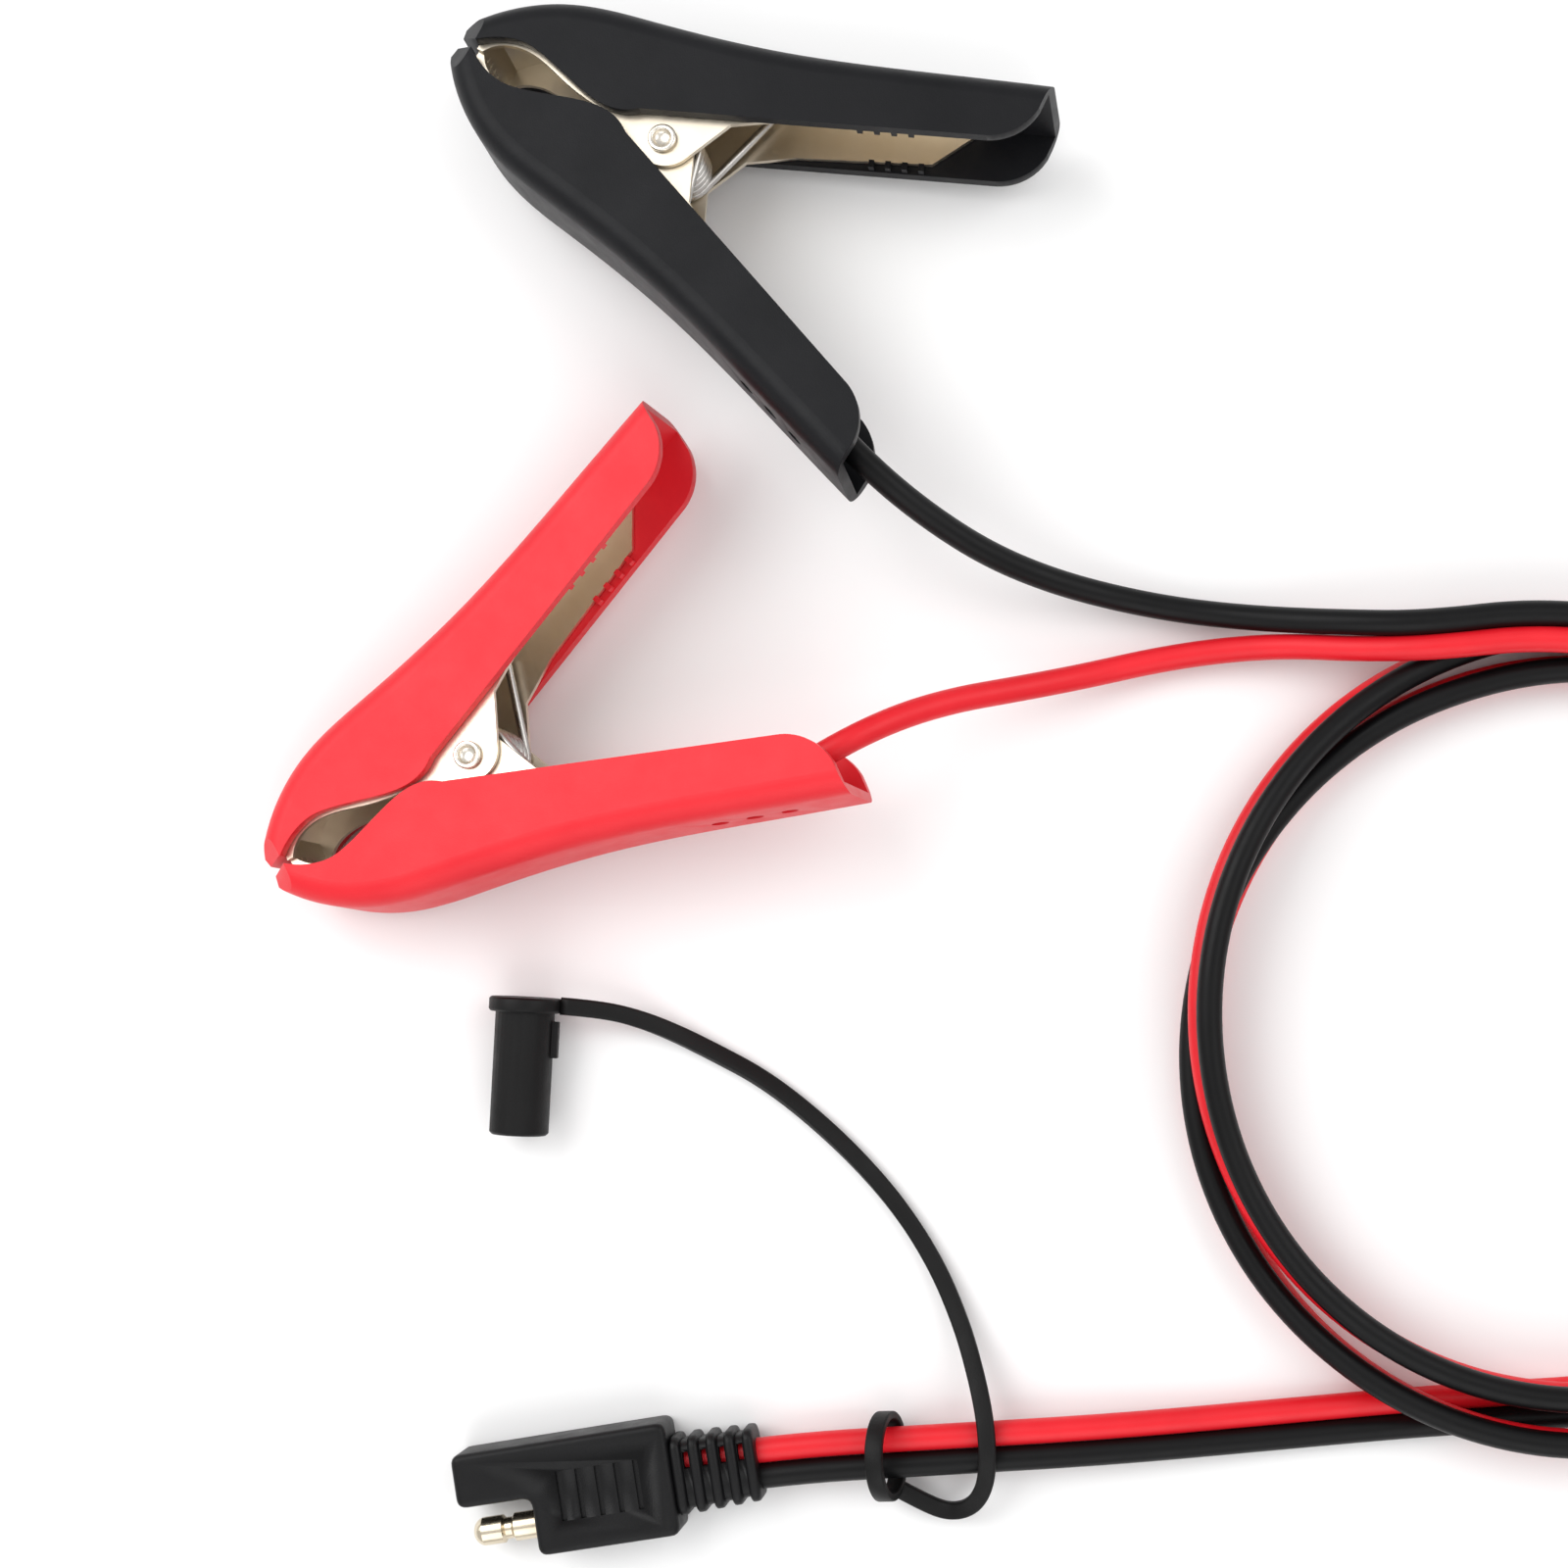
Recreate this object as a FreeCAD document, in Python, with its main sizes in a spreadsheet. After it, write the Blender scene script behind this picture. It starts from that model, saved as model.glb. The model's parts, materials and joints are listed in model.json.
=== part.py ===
import FreeCAD, Part
import math
import os
from FreeCAD import Placement, Rotation, Vector

# Battery charging lead: two insulated spring clips, a two-wire cable with one
# loose coil, and a moulded two-pin plug with a tethered dust cap.
# Units: mm. Z is up and the lead lies on the plane z = 0. The origin is the middle
# of the box around the clips, the plug and the cap, on that plane.

doc = FreeCAD.newDocument("battery_clip_lead")
sheet = doc.addObject("Spreadsheet::Sheet", "Sheet")

SIZES = [
    # the covers of a clip, seen from the side: stations of the back curve
    ("nose_tip_along", -34.6), ("nose_tip_rise", 2.3),
    ("brow_along", -30.5), ("brow_rise", 7.1),
    ("shoulder_along", -22.5), ("shoulder_rise", 12.3),
    ("hump_along", -10.0), ("hump_rise", 15.5),
    ("waist_along", 8.0), ("waist_rise", 19.5),
    ("palm_along", 28.0), ("palm_rise", 26.0),
    ("tail_along", 46.3), ("tail_rise", 32.5),
    ("handle_angle", 21.9), ("rim_offset", 3.55), ("crest_along", -9.6),
    ("mouth_front", -30.9), ("mouth_height", 3.4), ("tail_corner", 6.0),
    ("cover_width", 16.8), ("cover_wall", 1.7), ("back_radius", 3.4),
    ("nose_bevel", 3.6), ("vent_diameter", 2.4), ("vent_start", 26.5), ("vent_pitch", 4.9),
    ("comb_start", 24.2), ("comb_pitch", 2.3), ("comb_rib", 0.8),
    ("comb_height", 1.3), ("comb_reach", 1.3), ("comb_count", 4),
    # the stamped jaws, the rivet and the spring
    ("side_clearance", 0.2), ("plate", 0.8), ("ear_clearance", 0.15), ("ear_radius", 3.9),
    ("bite_gap", 0.06), ("mouth_lip", 0.4), ("arm_end", 36.8), ("flange_recess", 1.4),
    ("tooth_pitch", 1.6), ("tooth_depth", 0.7),
    ("rivet_radius", 1.7), ("rivet_bore", 1.1), ("rivet_head", 2.1), ("head_height", 0.5),
    ("running_clearance", 0.05),
    ("coil_wire", 1.2), ("leg_inset", 0.08), ("coil_outer", 4.2), ("coil_offset", 1.3), ("leg_reach", 19.5),
    # the crimp at the end of a lower jaw
    ("crimp_along", 26.0), ("crimp_length", 7.0), ("crimp_wall", 0.6),
    ("conductor_diameter", 2.2), ("conductor_grip", 4.0), ("conductor_show", 1.2),
    # the wires
    ("wire_diameter", 3.8), ("wire_clearance", 0.04),
    ("coil_centre_across", 134.2), ("coil_centre_up", -35.9),
    ("coil_radius", 57.2), ("coil_width", 11.6), ("coil_height", 12.5),
    # the plug
    ("plug_across", -21.2), ("plug_up", -105.0), ("plug_angle", 8.6),
    ("plug_thickness", 8.8), ("plug_width", 16.8), ("body_length", 21.0),
    ("arm_length", 10.9), ("arm_width", 7.9), ("contact_pitch", 8.4),
    ("boot_length", 12.5), ("boot_height", 11.8), ("boot_taper", 0.5),
    ("boot_rib", 1.7), ("boot_slot", 1.0), ("boot_slot_depth", 1.9), ("boot_slots", 4),
    ("grip_count", 5), ("grip_pitch", 2.85), ("grip_start", 4.2),
    ("grip_length", 7.4), ("grip_width", 0.8), ("grip_depth", 0.5),
    ("pin_diameter", 4.2), ("pin_reach", 9.9), ("pin_neck", 3.2), ("pin_neck_along", 4.6),
    ("pin_neck_width", 1.0), ("pin_neck_ramp", 0.4), ("pin_blunt", 0.6),
    ("pin_tip", 1.4), ("socket_clearance", 0.06), ("socket_wall", 0.5),
    ("socket_depth", 9.6), ("socket_inset", 0.5), ("contact_tail", 8.0),
    # the dust cap, its strap and its ring
    ("cap_across", -22.6), ("cap_up", -31.1), ("cap_angle", -93.1),
    ("cap_length", 20.4), ("cap_diameter", 8.6), ("cap_flange", 10.6),
    ("flange_thickness", 2.2), ("cap_bore_clearance", 0.1), ("cap_bore_depth", 16.0),
    ("cap_rib_start", 3.4), ("cap_rib_length", 5.4), ("cap_rib_height", 0.8), ("cap_rib_width", 1.4),
    ("strap_diameter", 2.4),
    ("ring_along", 19.0), ("ring_inner", 5.4), ("ring_thickness", 1.2), ("ring_width", 2.6),
    ("ring_lean", 12.0),
]
for row, (alias, value) in enumerate(SIZES, start=1):
    sheet.set("A%d" % row, alias)
    sheet.set("B%d" % row, str(value))
    sheet.setAlias("B%d" % row, alias)

# Sizes that follow from the ones above, so that every fit keeps its clearance
FITS = {
    "cavity_width": "Sheet.cover_width - 2 * Sheet.cover_wall",
    "upper_jaw_width": "Fits.cavity_width - 2 * Sheet.side_clearance",
    "lower_jaw_width": "Fits.upper_jaw_width - 2 * Sheet.plate - 2 * Sheet.ear_clearance",
    "upper_jaw_inside": "Fits.upper_jaw_width - 2 * Sheet.plate",
    "lower_jaw_inside": "Fits.lower_jaw_width - 2 * Sheet.plate",
    "pivot_hole": "Sheet.rivet_radius + Sheet.running_clearance",
    "shank_length": "Fits.upper_jaw_width + 4 * Sheet.running_clearance",
    "coil_length": "Fits.lower_jaw_inside - 2 * Sheet.side_clearance",
    "crimp_radius": "Sheet.wire_diameter / 2 + Sheet.wire_clearance + Sheet.crimp_wall",
    "cap_radius": "Sheet.cap_diameter / 2",
    "cap_flange_radius": "Sheet.cap_flange / 2",
    "cap_bore": "Sheet.pin_diameter / 2 + Sheet.cap_bore_clearance",
    "ring_outer": "Sheet.ring_inner + Sheet.ring_thickness",
    "socket_bore": "Sheet.pin_diameter / 2 + Sheet.socket_clearance",
    "socket_outer": "Fits.socket_bore + Sheet.socket_wall",
}
fits = doc.addObject("App::VarSet", "Fits")
for name, formula in FITS.items():
    fits.addProperty("App::PropertyFloat", name)
    fits.setExpression(name, formula)
doc.recompute()


def size(name):
    """The value of one cell of the sheet, or of one size that follows from them."""
    if name in FITS:
        return getattr(fits, name)
    value = sheet.get(name)
    return float(getattr(value, "Value", value))


SIDE = size("cover_wall") + size("side_clearance")
HALF_COVER = size("cover_width") / 2
HALF_CAVITY = size("cavity_width") / 2

parts = []          # every finished sub-part, in the order it is made


def finish(obj, name, placement=None):
    """Give a finished sub-part its name and its place."""
    obj.Label = name
    if placement is not None:
        obj.Placement = placement
    parts.append(obj)
    return obj


# ---------------------------------------------------------------- outlines

def polar(angle, length):
    return Vector(math.cos(math.radians(angle)), math.sin(math.radians(angle)), 0) * length


def smooth(points):
    """An open smooth curve through the points."""
    curve = Part.BSplineCurve()
    curve.interpolate([Vector(p) for p in points])
    return curve


def chain(points):
    """Straight edges from point to point."""
    return [Part.LineSegment(Vector(p), Vector(q)) for p, q in zip(points, points[1:])]


def mirrored(points, half):
    """Points of an upper half (half = 1) or its mirror image (half = -1)."""
    return [Vector(p[0], half * p[1], 0) for p in points]


def sketch_on(body, role, name, curves, height=0.0):
    """A sketch of the given curves on one of the body's own origin planes."""
    plane = next(f for f in body.Origin.OriginFeatures if f.Role == role)
    sketch = body.newObject("Sketcher::SketchObject", name)
    sketch.AttachmentSupport = [(plane, "")]
    sketch.MapMode = "FlatFace"
    sketch.AttachmentOffset = Placement(Vector(0, 0, height), Rotation())
    for curve in curves:
        sketch.addGeometry(curve, False)
    return sketch


def pad(body, sketch, length, name, midplane=True):
    feature = body.newObject("PartDesign::Pad", name)
    feature.Profile = sketch
    feature.Midplane = midplane
    feature.setExpression("Length", length)
    sketch.Visibility = False
    return feature


def pocket(body, sketch, length, name):
    feature = body.newObject("PartDesign::Pocket", name)
    feature.Profile = sketch
    feature.Midplane = True
    feature.setExpression("Length", length)
    sketch.Visibility = False
    return feature


# ---------------------------------------------------------------- a clip half

BACK = ["nose_tip", "brow", "shoulder", "hump", "waist", "palm", "tail"]


def back_points(inset):
    """The back curve, moved inwards by the inset along its own normal."""
    stations = [Vector(size(n + "_along"), size(n + "_rise"), 0) for n in BACK]
    curve = smooth(stations)
    moved = []
    for station in stations:
        tangent = curve.tangent(curve.parameter(station))[0]
        moved.append(station + Vector(tangent.y, -tangent.x, 0) * inset)
    return moved


def back_height(along, inset):
    """Height of the inset back curve above the parting line at one place."""
    curve = smooth(back_points(inset))
    line = Part.LineSegment(Vector(along, -60, 0), Vector(along, 60, 0))
    return curve.intersect(line)[0].Y


def rim_point(along, inset=0.0):
    """A point of the straight rim of a handle, seen from the side."""
    angle = size("handle_angle")
    foot = polar(angle + 90, size("rim_offset") + inset)
    return foot + polar(angle, (along - foot.x) / math.cos(math.radians(angle)))


def cover_outline():
    """Edges round a cover: back, tail, rim, mouth and nose."""
    back = back_points(0)
    corner = size("tail_corner")
    tail_end = Vector(size("tail_along") + 0.3, size("tail_rise") - 0.8 * corner, 0)
    rim_end = rim_point(size("tail_along") - 0.75 * corner)
    middle = (tail_end + rim_end) * 0.5 + polar(-33, 0.2 * corner)
    rim_start = rim_point(-4.6)
    crest = size("crest_along")
    front = size("mouth_front")
    high = size("mouth_height")
    lip = Vector(front, 0.65, 0)
    mouth = [rim_start, Vector(crest, 0.25, 0), Vector(-12.4, 0.6, 0), Vector(-17, 1.85, 0),
             Vector(-21, 0.87 * high, 0), Vector(-24.2, high, 0), Vector(-27.2, 0.82 * high, 0),
             lip]
    chin = Vector(size("nose_tip_along") + 0.5, 0.8, 0)
    return back, tail_end, middle, rim_end, rim_start, mouth, chin


def make_cover(name, half, placement):
    """An insulating cover: a deep trough, closed round the nose and open at the tail."""
    body = doc.addObject("PartDesign::Body", name)
    back, tail_end, middle, rim_end, rim_start, mouth, chin = cover_outline()
    curves = [smooth(mirrored(back, half))]
    curves += chain(mirrored([back[-1], tail_end], half))
    arc = mirrored([tail_end, middle, rim_end], half)
    curves.append(Part.Arc(*arc))
    curves += chain(mirrored([rim_end, rim_start], half))
    curves.append(smooth(mirrored(mouth, half)))
    curves += chain(mirrored([mouth[-1], chin, back[0]], half))
    profile = sketch_on(body, "XY_Plane", name + "_side", curves)
    block = pad(body, profile, "Sheet.cover_width", name + "_block")
    doc.recompute()

    edges = []
    for number, edge in enumerate(block.Shape.Edges, start=1):
        flat = abs(abs(edge.BoundBox.ZMin) - HALF_COVER) < 1e-4 and edge.BoundBox.ZLength < 1e-4
        if flat and edge.Length > 0.8 * (size("tail_along") - size("nose_tip_along")):
            edges.append("Edge%d" % number)
    rounding = body.newObject("PartDesign::Fillet", name + "_rounding")
    rounding.Base = (block, edges)
    rounding.setExpression("Radius", "Sheet.back_radius")
    doc.recompute()

    bevel = size("nose_bevel")
    tip = size("nose_tip_along")
    for side in (1, -1):
        corner = [Vector(tip - 1, side * (HALF_COVER + 1), 0),
                  Vector(tip + bevel, side * (HALF_COVER + 1), 0),
                  Vector(tip + bevel, side * HALF_COVER, 0),
                  Vector(tip, side * (HALF_COVER - bevel), 0),
                  Vector(tip - 1, side * (HALF_COVER - bevel), 0)]
        cut = sketch_on(body, "XZ_Plane", name + "_bevel_line", chain(corner + corner[:1]))
        pocket(body, cut, "4 * Sheet.tail_rise", name + "_bevel")

    inner = back_points(size("cover_wall"))
    wall_x = size("mouth_front") - 0.2
    first = Vector(wall_x, back_height(wall_x, size("cover_wall")), 0)
    inner = [first] + [p for p in inner if p.x > wall_x + 1]
    beyond = inner[-1] + Vector(6, 2.1, 0)
    floor_y = -2.0
    hollow = [smooth(mirrored(inner, half))]
    hollow += chain(mirrored([inner[-1], beyond, Vector(beyond.x, floor_y, 0),
                              Vector(wall_x, floor_y, 0), first], half))
    pocket(body, sketch_on(body, "XY_Plane", name + "_hollow_line", hollow),
           "Fits.cavity_width", name + "_hollow")

    circles = []
    for number in range(3):
        centre = Vector(size("vent_start") + number * size("vent_pitch"), 0, 0)
        circles.append(Part.Circle(centre, Vector(0, 0, 1), size("vent_diameter") / 2))
    pocket(body, sketch_on(body, "XZ_Plane", name + "_vent_line", circles),
           "4 * Sheet.tail_rise", name + "_vents")

    for side in (1, -1):
        ribs = []
        for number in range(int(size("comb_count"))):
            along = size("comb_start") + number * size("comb_pitch")
            low = rim_point(along, 0.15)
            up = polar(size("handle_angle") + 90, size("comb_height") - 0.15)
            wide = polar(size("handle_angle"), size("comb_rib"))
            ribs += chain(mirrored([low, low + wide, low + wide + up, low + up, low], half))
        middle_z = side * (HALF_CAVITY + (0.3 - size("comb_reach")) / 2)
        pad(body, sketch_on(body, "XY_Plane", name + "_comb_line", ribs, middle_z),
            "Sheet.comb_reach + 0.3", name + "_comb")
    return finish(body, name, placement)


def jaw_outline():
    """Edges round a jaw seen from the side: back, arm end, arm, ear, mouth and tip."""
    inset = size("cover_wall") + size("side_clearance")
    front = size("mouth_front") - 0.05
    brow = Vector(front + 0.1, back_height(front + 0.1, inset), 0)
    end_x = size("arm_end")
    arm_back = Vector(end_x, back_height(end_x, inset), 0)
    back = [brow] + [p for p in back_points(inset) if front + 1 < p.x < end_x - 2] + [arm_back]
    radius = size("ear_radius")
    gap = size("bite_gap") / 2
    lip = size("mouth_lip")
    high = size("mouth_height")
    arm = [arm_back, arm_back + Vector(-0.3, -1.2, 0), rim_point(end_x - 4.4, size("flange_recess")),
           rim_point(14.0, size("flange_recess") * 0.55), Vector(7.6, 6.3, 0),
           polar(-20, radius + 0.5)]
    ear = [arm[-1], polar(-75, radius), polar(-140, radius)]
    mouth = [Vector(-11.0, 0.2, 0), Vector(-13.6, 0.55, 0), Vector(-17.4, 1.45, 0),
             Vector(-21, 0.87 * high - lip, 0), Vector(-24.4, high - lip, 0),
             Vector(-27.4, 0.82 * high - lip, 0), Vector(front + 0.9, gap, 0)]
    tip = Vector(front, gap, 0)
    return back, arm, ear, mouth, tip


def make_jaw(name, half, width, inside, placement, crimp=False):
    """A stamped jaw: two side plates with an ear each, and a web under the cover."""
    body = doc.addObject("PartDesign::Body", name + "_stamping")
    back, arm, ear, mouth, tip = jaw_outline()
    curves = [smooth(mirrored(back, half))]
    curves += chain(mirrored(arm, half))
    curves.append(Part.Arc(*mirrored(ear, half)))
    curves += chain(mirrored([ear[-1], mouth[0]], half))
    curves.append(smooth(mirrored(mouth, half)))
    curves += chain(mirrored([mouth[-1], tip, back[0]], half))
    side = sketch_on(body, "XY_Plane", name + "_side", curves)
    pad(body, side, "Fits.%s" % width, name + "_block")

    inset = size("cover_wall") + size("side_clearance") + size("plate")
    inner_front = tip.x + size("plate")
    first = Vector(inner_front, back_height(inner_front, inset), 0)
    inner = [first] + [p for p in back_points(inset) if p.x > inner_front + 1]
    low = -size("ear_radius") - 2
    hollow = [smooth(mirrored(inner, half))]
    hollow += chain(mirrored([inner[-1], Vector(inner[-1].x, low, 0),
                              Vector(inner_front, low, 0), first], half))
    pocket(body, sketch_on(body, "XY_Plane", name + "_channel_line", hollow),
           "Fits.%s" % inside, name + "_channel")

    hole = Part.Circle(Vector(0, 0, 0), Vector(0, 0, 1), size("pivot_hole"))
    pocket(body, sketch_on(body, "XY_Plane", name + "_pivot_line", [hole]),
           "2 * Sheet.cover_width", name + "_pivot")

    teeth = []
    pitch, depth = size("tooth_pitch"), size("tooth_depth")
    count = int(size("lower_jaw_inside") / pitch)
    for number in range(count):
        middle = (number - (count - 1) / 2) * pitch
        teeth += chain([Vector(-half * 1.0, middle - pitch * 0.45, 0),
                        Vector(half * (depth + size("bite_gap") / 2), middle, 0),
                        Vector(-half * 1.0, middle + pitch * 0.45, 0),
                        Vector(-half * 1.0, middle - pitch * 0.45, 0)])
    cut = sketch_on(body, "YZ_Plane", name + "_teeth_line", teeth, tip.x)
    pocket(body, cut, "2.4 * Sheet.plate", name + "_teeth")
    if not crimp:
        return finish(body, name, placement)

    barrel = doc.addObject("Part::Cylinder", name + "_barrel")
    barrel.setExpression("Radius", "Fits.crimp_radius")
    barrel.setExpression("Height", "Sheet.crimp_length")
    barrel.Placement = along_wire(0)
    bore = doc.addObject("Part::Cylinder", name + "_bore")
    bore.setExpression("Radius", "Sheet.conductor_diameter / 2 + Sheet.wire_clearance")
    bore.setExpression("Height", "Sheet.crimp_length")
    bore.Placement = along_wire(0)
    mouth_bore = doc.addObject("Part::Cylinder", name + "_mouth_bore")
    mouth_bore.setExpression("Radius", "Sheet.wire_diameter / 2 + Sheet.wire_clearance")
    mouth_bore.setExpression("Height", "Sheet.crimp_length")
    mouth_bore.Placement = along_wire(size("conductor_grip"))
    solid = doc.addObject("Part::Fuse", name + "_with_barrel")
    solid.Base, solid.Tool = body, barrel
    drilled = doc.addObject("Part::Cut", name + "_drilled")
    drilled.Base, drilled.Tool = solid, bore
    jaw = doc.addObject("Part::Cut", name)
    jaw.Base, jaw.Tool = drilled, mouth_bore
    return finish(jaw, name, placement)


def along_wire(distance):
    """Place on the wire's axis inside a lower handle, in the clip's own frame."""
    inset = SIDE + size("plate") + size("crimp_radius") - 0.1
    start_x = size("crimp_along")
    curve = smooth(back_points(inset))
    line = Part.LineSegment(Vector(start_x, -60, 0), Vector(start_x, 60, 0))
    crossing = curve.intersect(line)[0]
    start = Vector(crossing.X, crossing.Y, 0)
    tangent = curve.tangent(curve.parameter(start))[0]
    direction = Vector(tangent.x, -tangent.y, 0)
    return Placement(Vector(start.x, -start.y, 0) + direction * distance,
                     Rotation(Vector(0, 0, 1), direction))


def make_rivet(name, placement):
    """A tubular rivet with a rolled head at each end."""
    shank = doc.addObject("Part::Cylinder", name + "_shank")
    shank.setExpression("Radius", "Sheet.rivet_radius")
    shank.setExpression("Height", "Fits.shank_length")
    shank.setExpression("Placement.Base.z", "-Fits.shank_length / 2")
    heads = []
    for end, start in (("front", "Fits.shank_length / 2"),
                       ("back", "-Fits.shank_length / 2 - Sheet.head_height")):
        head = doc.addObject("Part::Cylinder", "%s_%s_head" % (name, end))
        head.setExpression("Radius", "Sheet.rivet_head")
        head.setExpression("Height", "Sheet.head_height")
        head.setExpression("Placement.Base.z", start)
        heads.append(head)
    solid = doc.addObject("Part::MultiFuse", name + "_solid")
    solid.Shapes = [shank] + heads
    bore = doc.addObject("Part::Cylinder", name + "_bore")
    bore.setExpression("Radius", "Sheet.rivet_bore")
    bore.setExpression("Height", "2 * Sheet.cover_width")
    bore.setExpression("Placement.Base.z", "-Sheet.cover_width")
    rivet = doc.addObject("Part::Cut", name)
    rivet.Base, rivet.Tool = solid, bore
    return finish(rivet, name, placement)


def make_spring(name, placement):
    """A torsion spring: its coil as a plain sleeve, and a leg along each arm.

    A leg is a hair thinner than the sleeve's wall, so that it crosses the sleeve's
    faces and is tangent to none of them."""
    outer = doc.addObject("Part::Cylinder", name + "_outer")
    outer.setExpression("Radius", "Sheet.coil_outer")
    inner = doc.addObject("Part::Cylinder", name + "_inner")
    inner.setExpression("Radius", "Sheet.coil_outer - Sheet.coil_wire")
    for cylinder in (outer, inner):
        cylinder.setExpression("Height", "Fits.coil_length")
        cylinder.setExpression("Placement.Base.x", "Sheet.coil_offset")
        cylinder.setExpression("Placement.Base.z", "-Fits.coil_length / 2")
    sleeve = doc.addObject("Part::Cut", name + "_sleeve")
    sleeve.Base, sleeve.Tool = outer, inner
    legs = []
    for half in (1, -1):
        reach = size("leg_reach")
        ride = SIDE + size("plate") + size("coil_wire") / 2 + 0.15
        end = Vector(reach, half * back_height(reach, ride), 0)
        start = Vector(size("coil_offset"), half * (size("coil_outer") - size("coil_wire") / 2), 0)
        height = half * ((size("coil_length") - size("coil_wire")) / 2 - size("leg_inset"))
        leg = doc.addObject("Part::Cylinder", name + "_leg")
        leg.setExpression("Radius", "Sheet.coil_wire / 2 - Sheet.leg_inset")
        leg.Height = (end - start).Length
        leg.Placement = Placement(start + Vector(0, 0, height), Rotation(Vector(0, 0, 1), end - start))
        legs.append(leg)
    spring = doc.addObject("Part::MultiFuse", name)
    spring.Shapes = [sleeve] + legs
    return finish(spring, name, placement)


def make_strands(name, placement):
    """The bared copper strands held in the crimp."""
    strands = doc.addObject("Part::Cylinder", name)
    strands.setExpression("Radius", "Sheet.conductor_diameter / 2")
    strands.setExpression("Height", "Sheet.conductor_grip + Sheet.conductor_show")
    return finish(strands, name, placement.multiply(along_wire(-size("conductor_show"))))


def clip_turn(clip):
    """How a clip lies: turned on the table, and propped up a little by its wire."""
    turn = Rotation(Vector(0, 0, 1), clip["heading"])
    pitch = Rotation(Vector(0, 1, 0), -clip["pitch"])
    roll = Rotation(Vector(1, 0, 0), -clip["roll"])
    return turn.multiply(pitch).multiply(roll)


CLIPS = {
    "black": {"across": 0.3, "up": 90.9, "heading": -27.1, "pitch": 6.0, "roll": 7.0},
    "red": {"across": -26.8, "up": 3.4, "heading": 29.1, "pitch": 6.0, "roll": 7.0},
}


def make_clip(colour, clip):
    """One spring clip. Its own frame has the rivet along Z and the handles towards +X."""
    turn = Placement(Vector(0, 0, 0), clip_turn(clip))
    upper = make_cover(colour + "_upper_cover", 1, turn)
    lower = make_cover(colour + "_lower_cover", -1, turn)
    doc.recompute()
    lift = -min(upper.Shape.BoundBox.ZMin, lower.Shape.BoundBox.ZMin)
    placement = Placement(Vector(clip["across"], clip["up"], lift), clip_turn(clip))
    upper.Placement = placement
    lower.Placement = placement
    make_jaw(colour + "_upper_jaw", 1, "upper_jaw_width", "upper_jaw_inside", placement)
    make_jaw(colour + "_lower_jaw", -1, "lower_jaw_width", "lower_jaw_inside", placement, True)
    make_rivet(colour + "_rivet", placement)
    make_spring(colour + "_spring", placement)
    make_strands(colour + "_clip_strands", placement)
    return placement


clip_places = {colour: make_clip(colour, clip) for colour, clip in CLIPS.items()}


# ---------------------------------------------------------------- the plug

def disc(name, radius, length, start, axis=Vector(1, 0, 0)):
    """A cylinder from a point along an axis, with its sizes bound to the sheet."""
    cylinder = doc.addObject("Part::Cylinder", name)
    cylinder.setExpression("Radius", radius)
    cylinder.setExpression("Height", length)
    cylinder.Placement = Placement(start, Rotation(Vector(0, 0, 1), axis))
    return cylinder


plug_place = Placement(Vector(size("plug_across"), size("plug_up"), size("plug_thickness") / 2),
                       Rotation(Vector(0, 0, 1), size("plug_angle")))
HALF_PITCH = size("contact_pitch") / 2
LANE = size("wire_diameter") / 2 + size("wire_clearance") / 2      # wire centre from the middle
BOOT_END = size("body_length") + size("boot_length")
JOINT = size("contact_tail")                   # where each contact ends inside the plug
SPLICE = JOINT + 8.5                           # where each wire's insulation ends


def inner_wire(name, half, radius):
    """The straight piece of bare conductor from a contact to its wire."""
    start = Vector(JOINT, half * HALF_PITCH, 0)
    end = Vector(SPLICE, half * LANE, 0)
    cylinder = doc.addObject("Part::Cylinder", name)
    cylinder.setExpression("Radius", radius)
    cylinder.Height = (end - start).Length
    cylinder.Placement = Placement(start, Rotation(Vector(0, 0, 1), end - start))
    return cylinder


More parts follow.
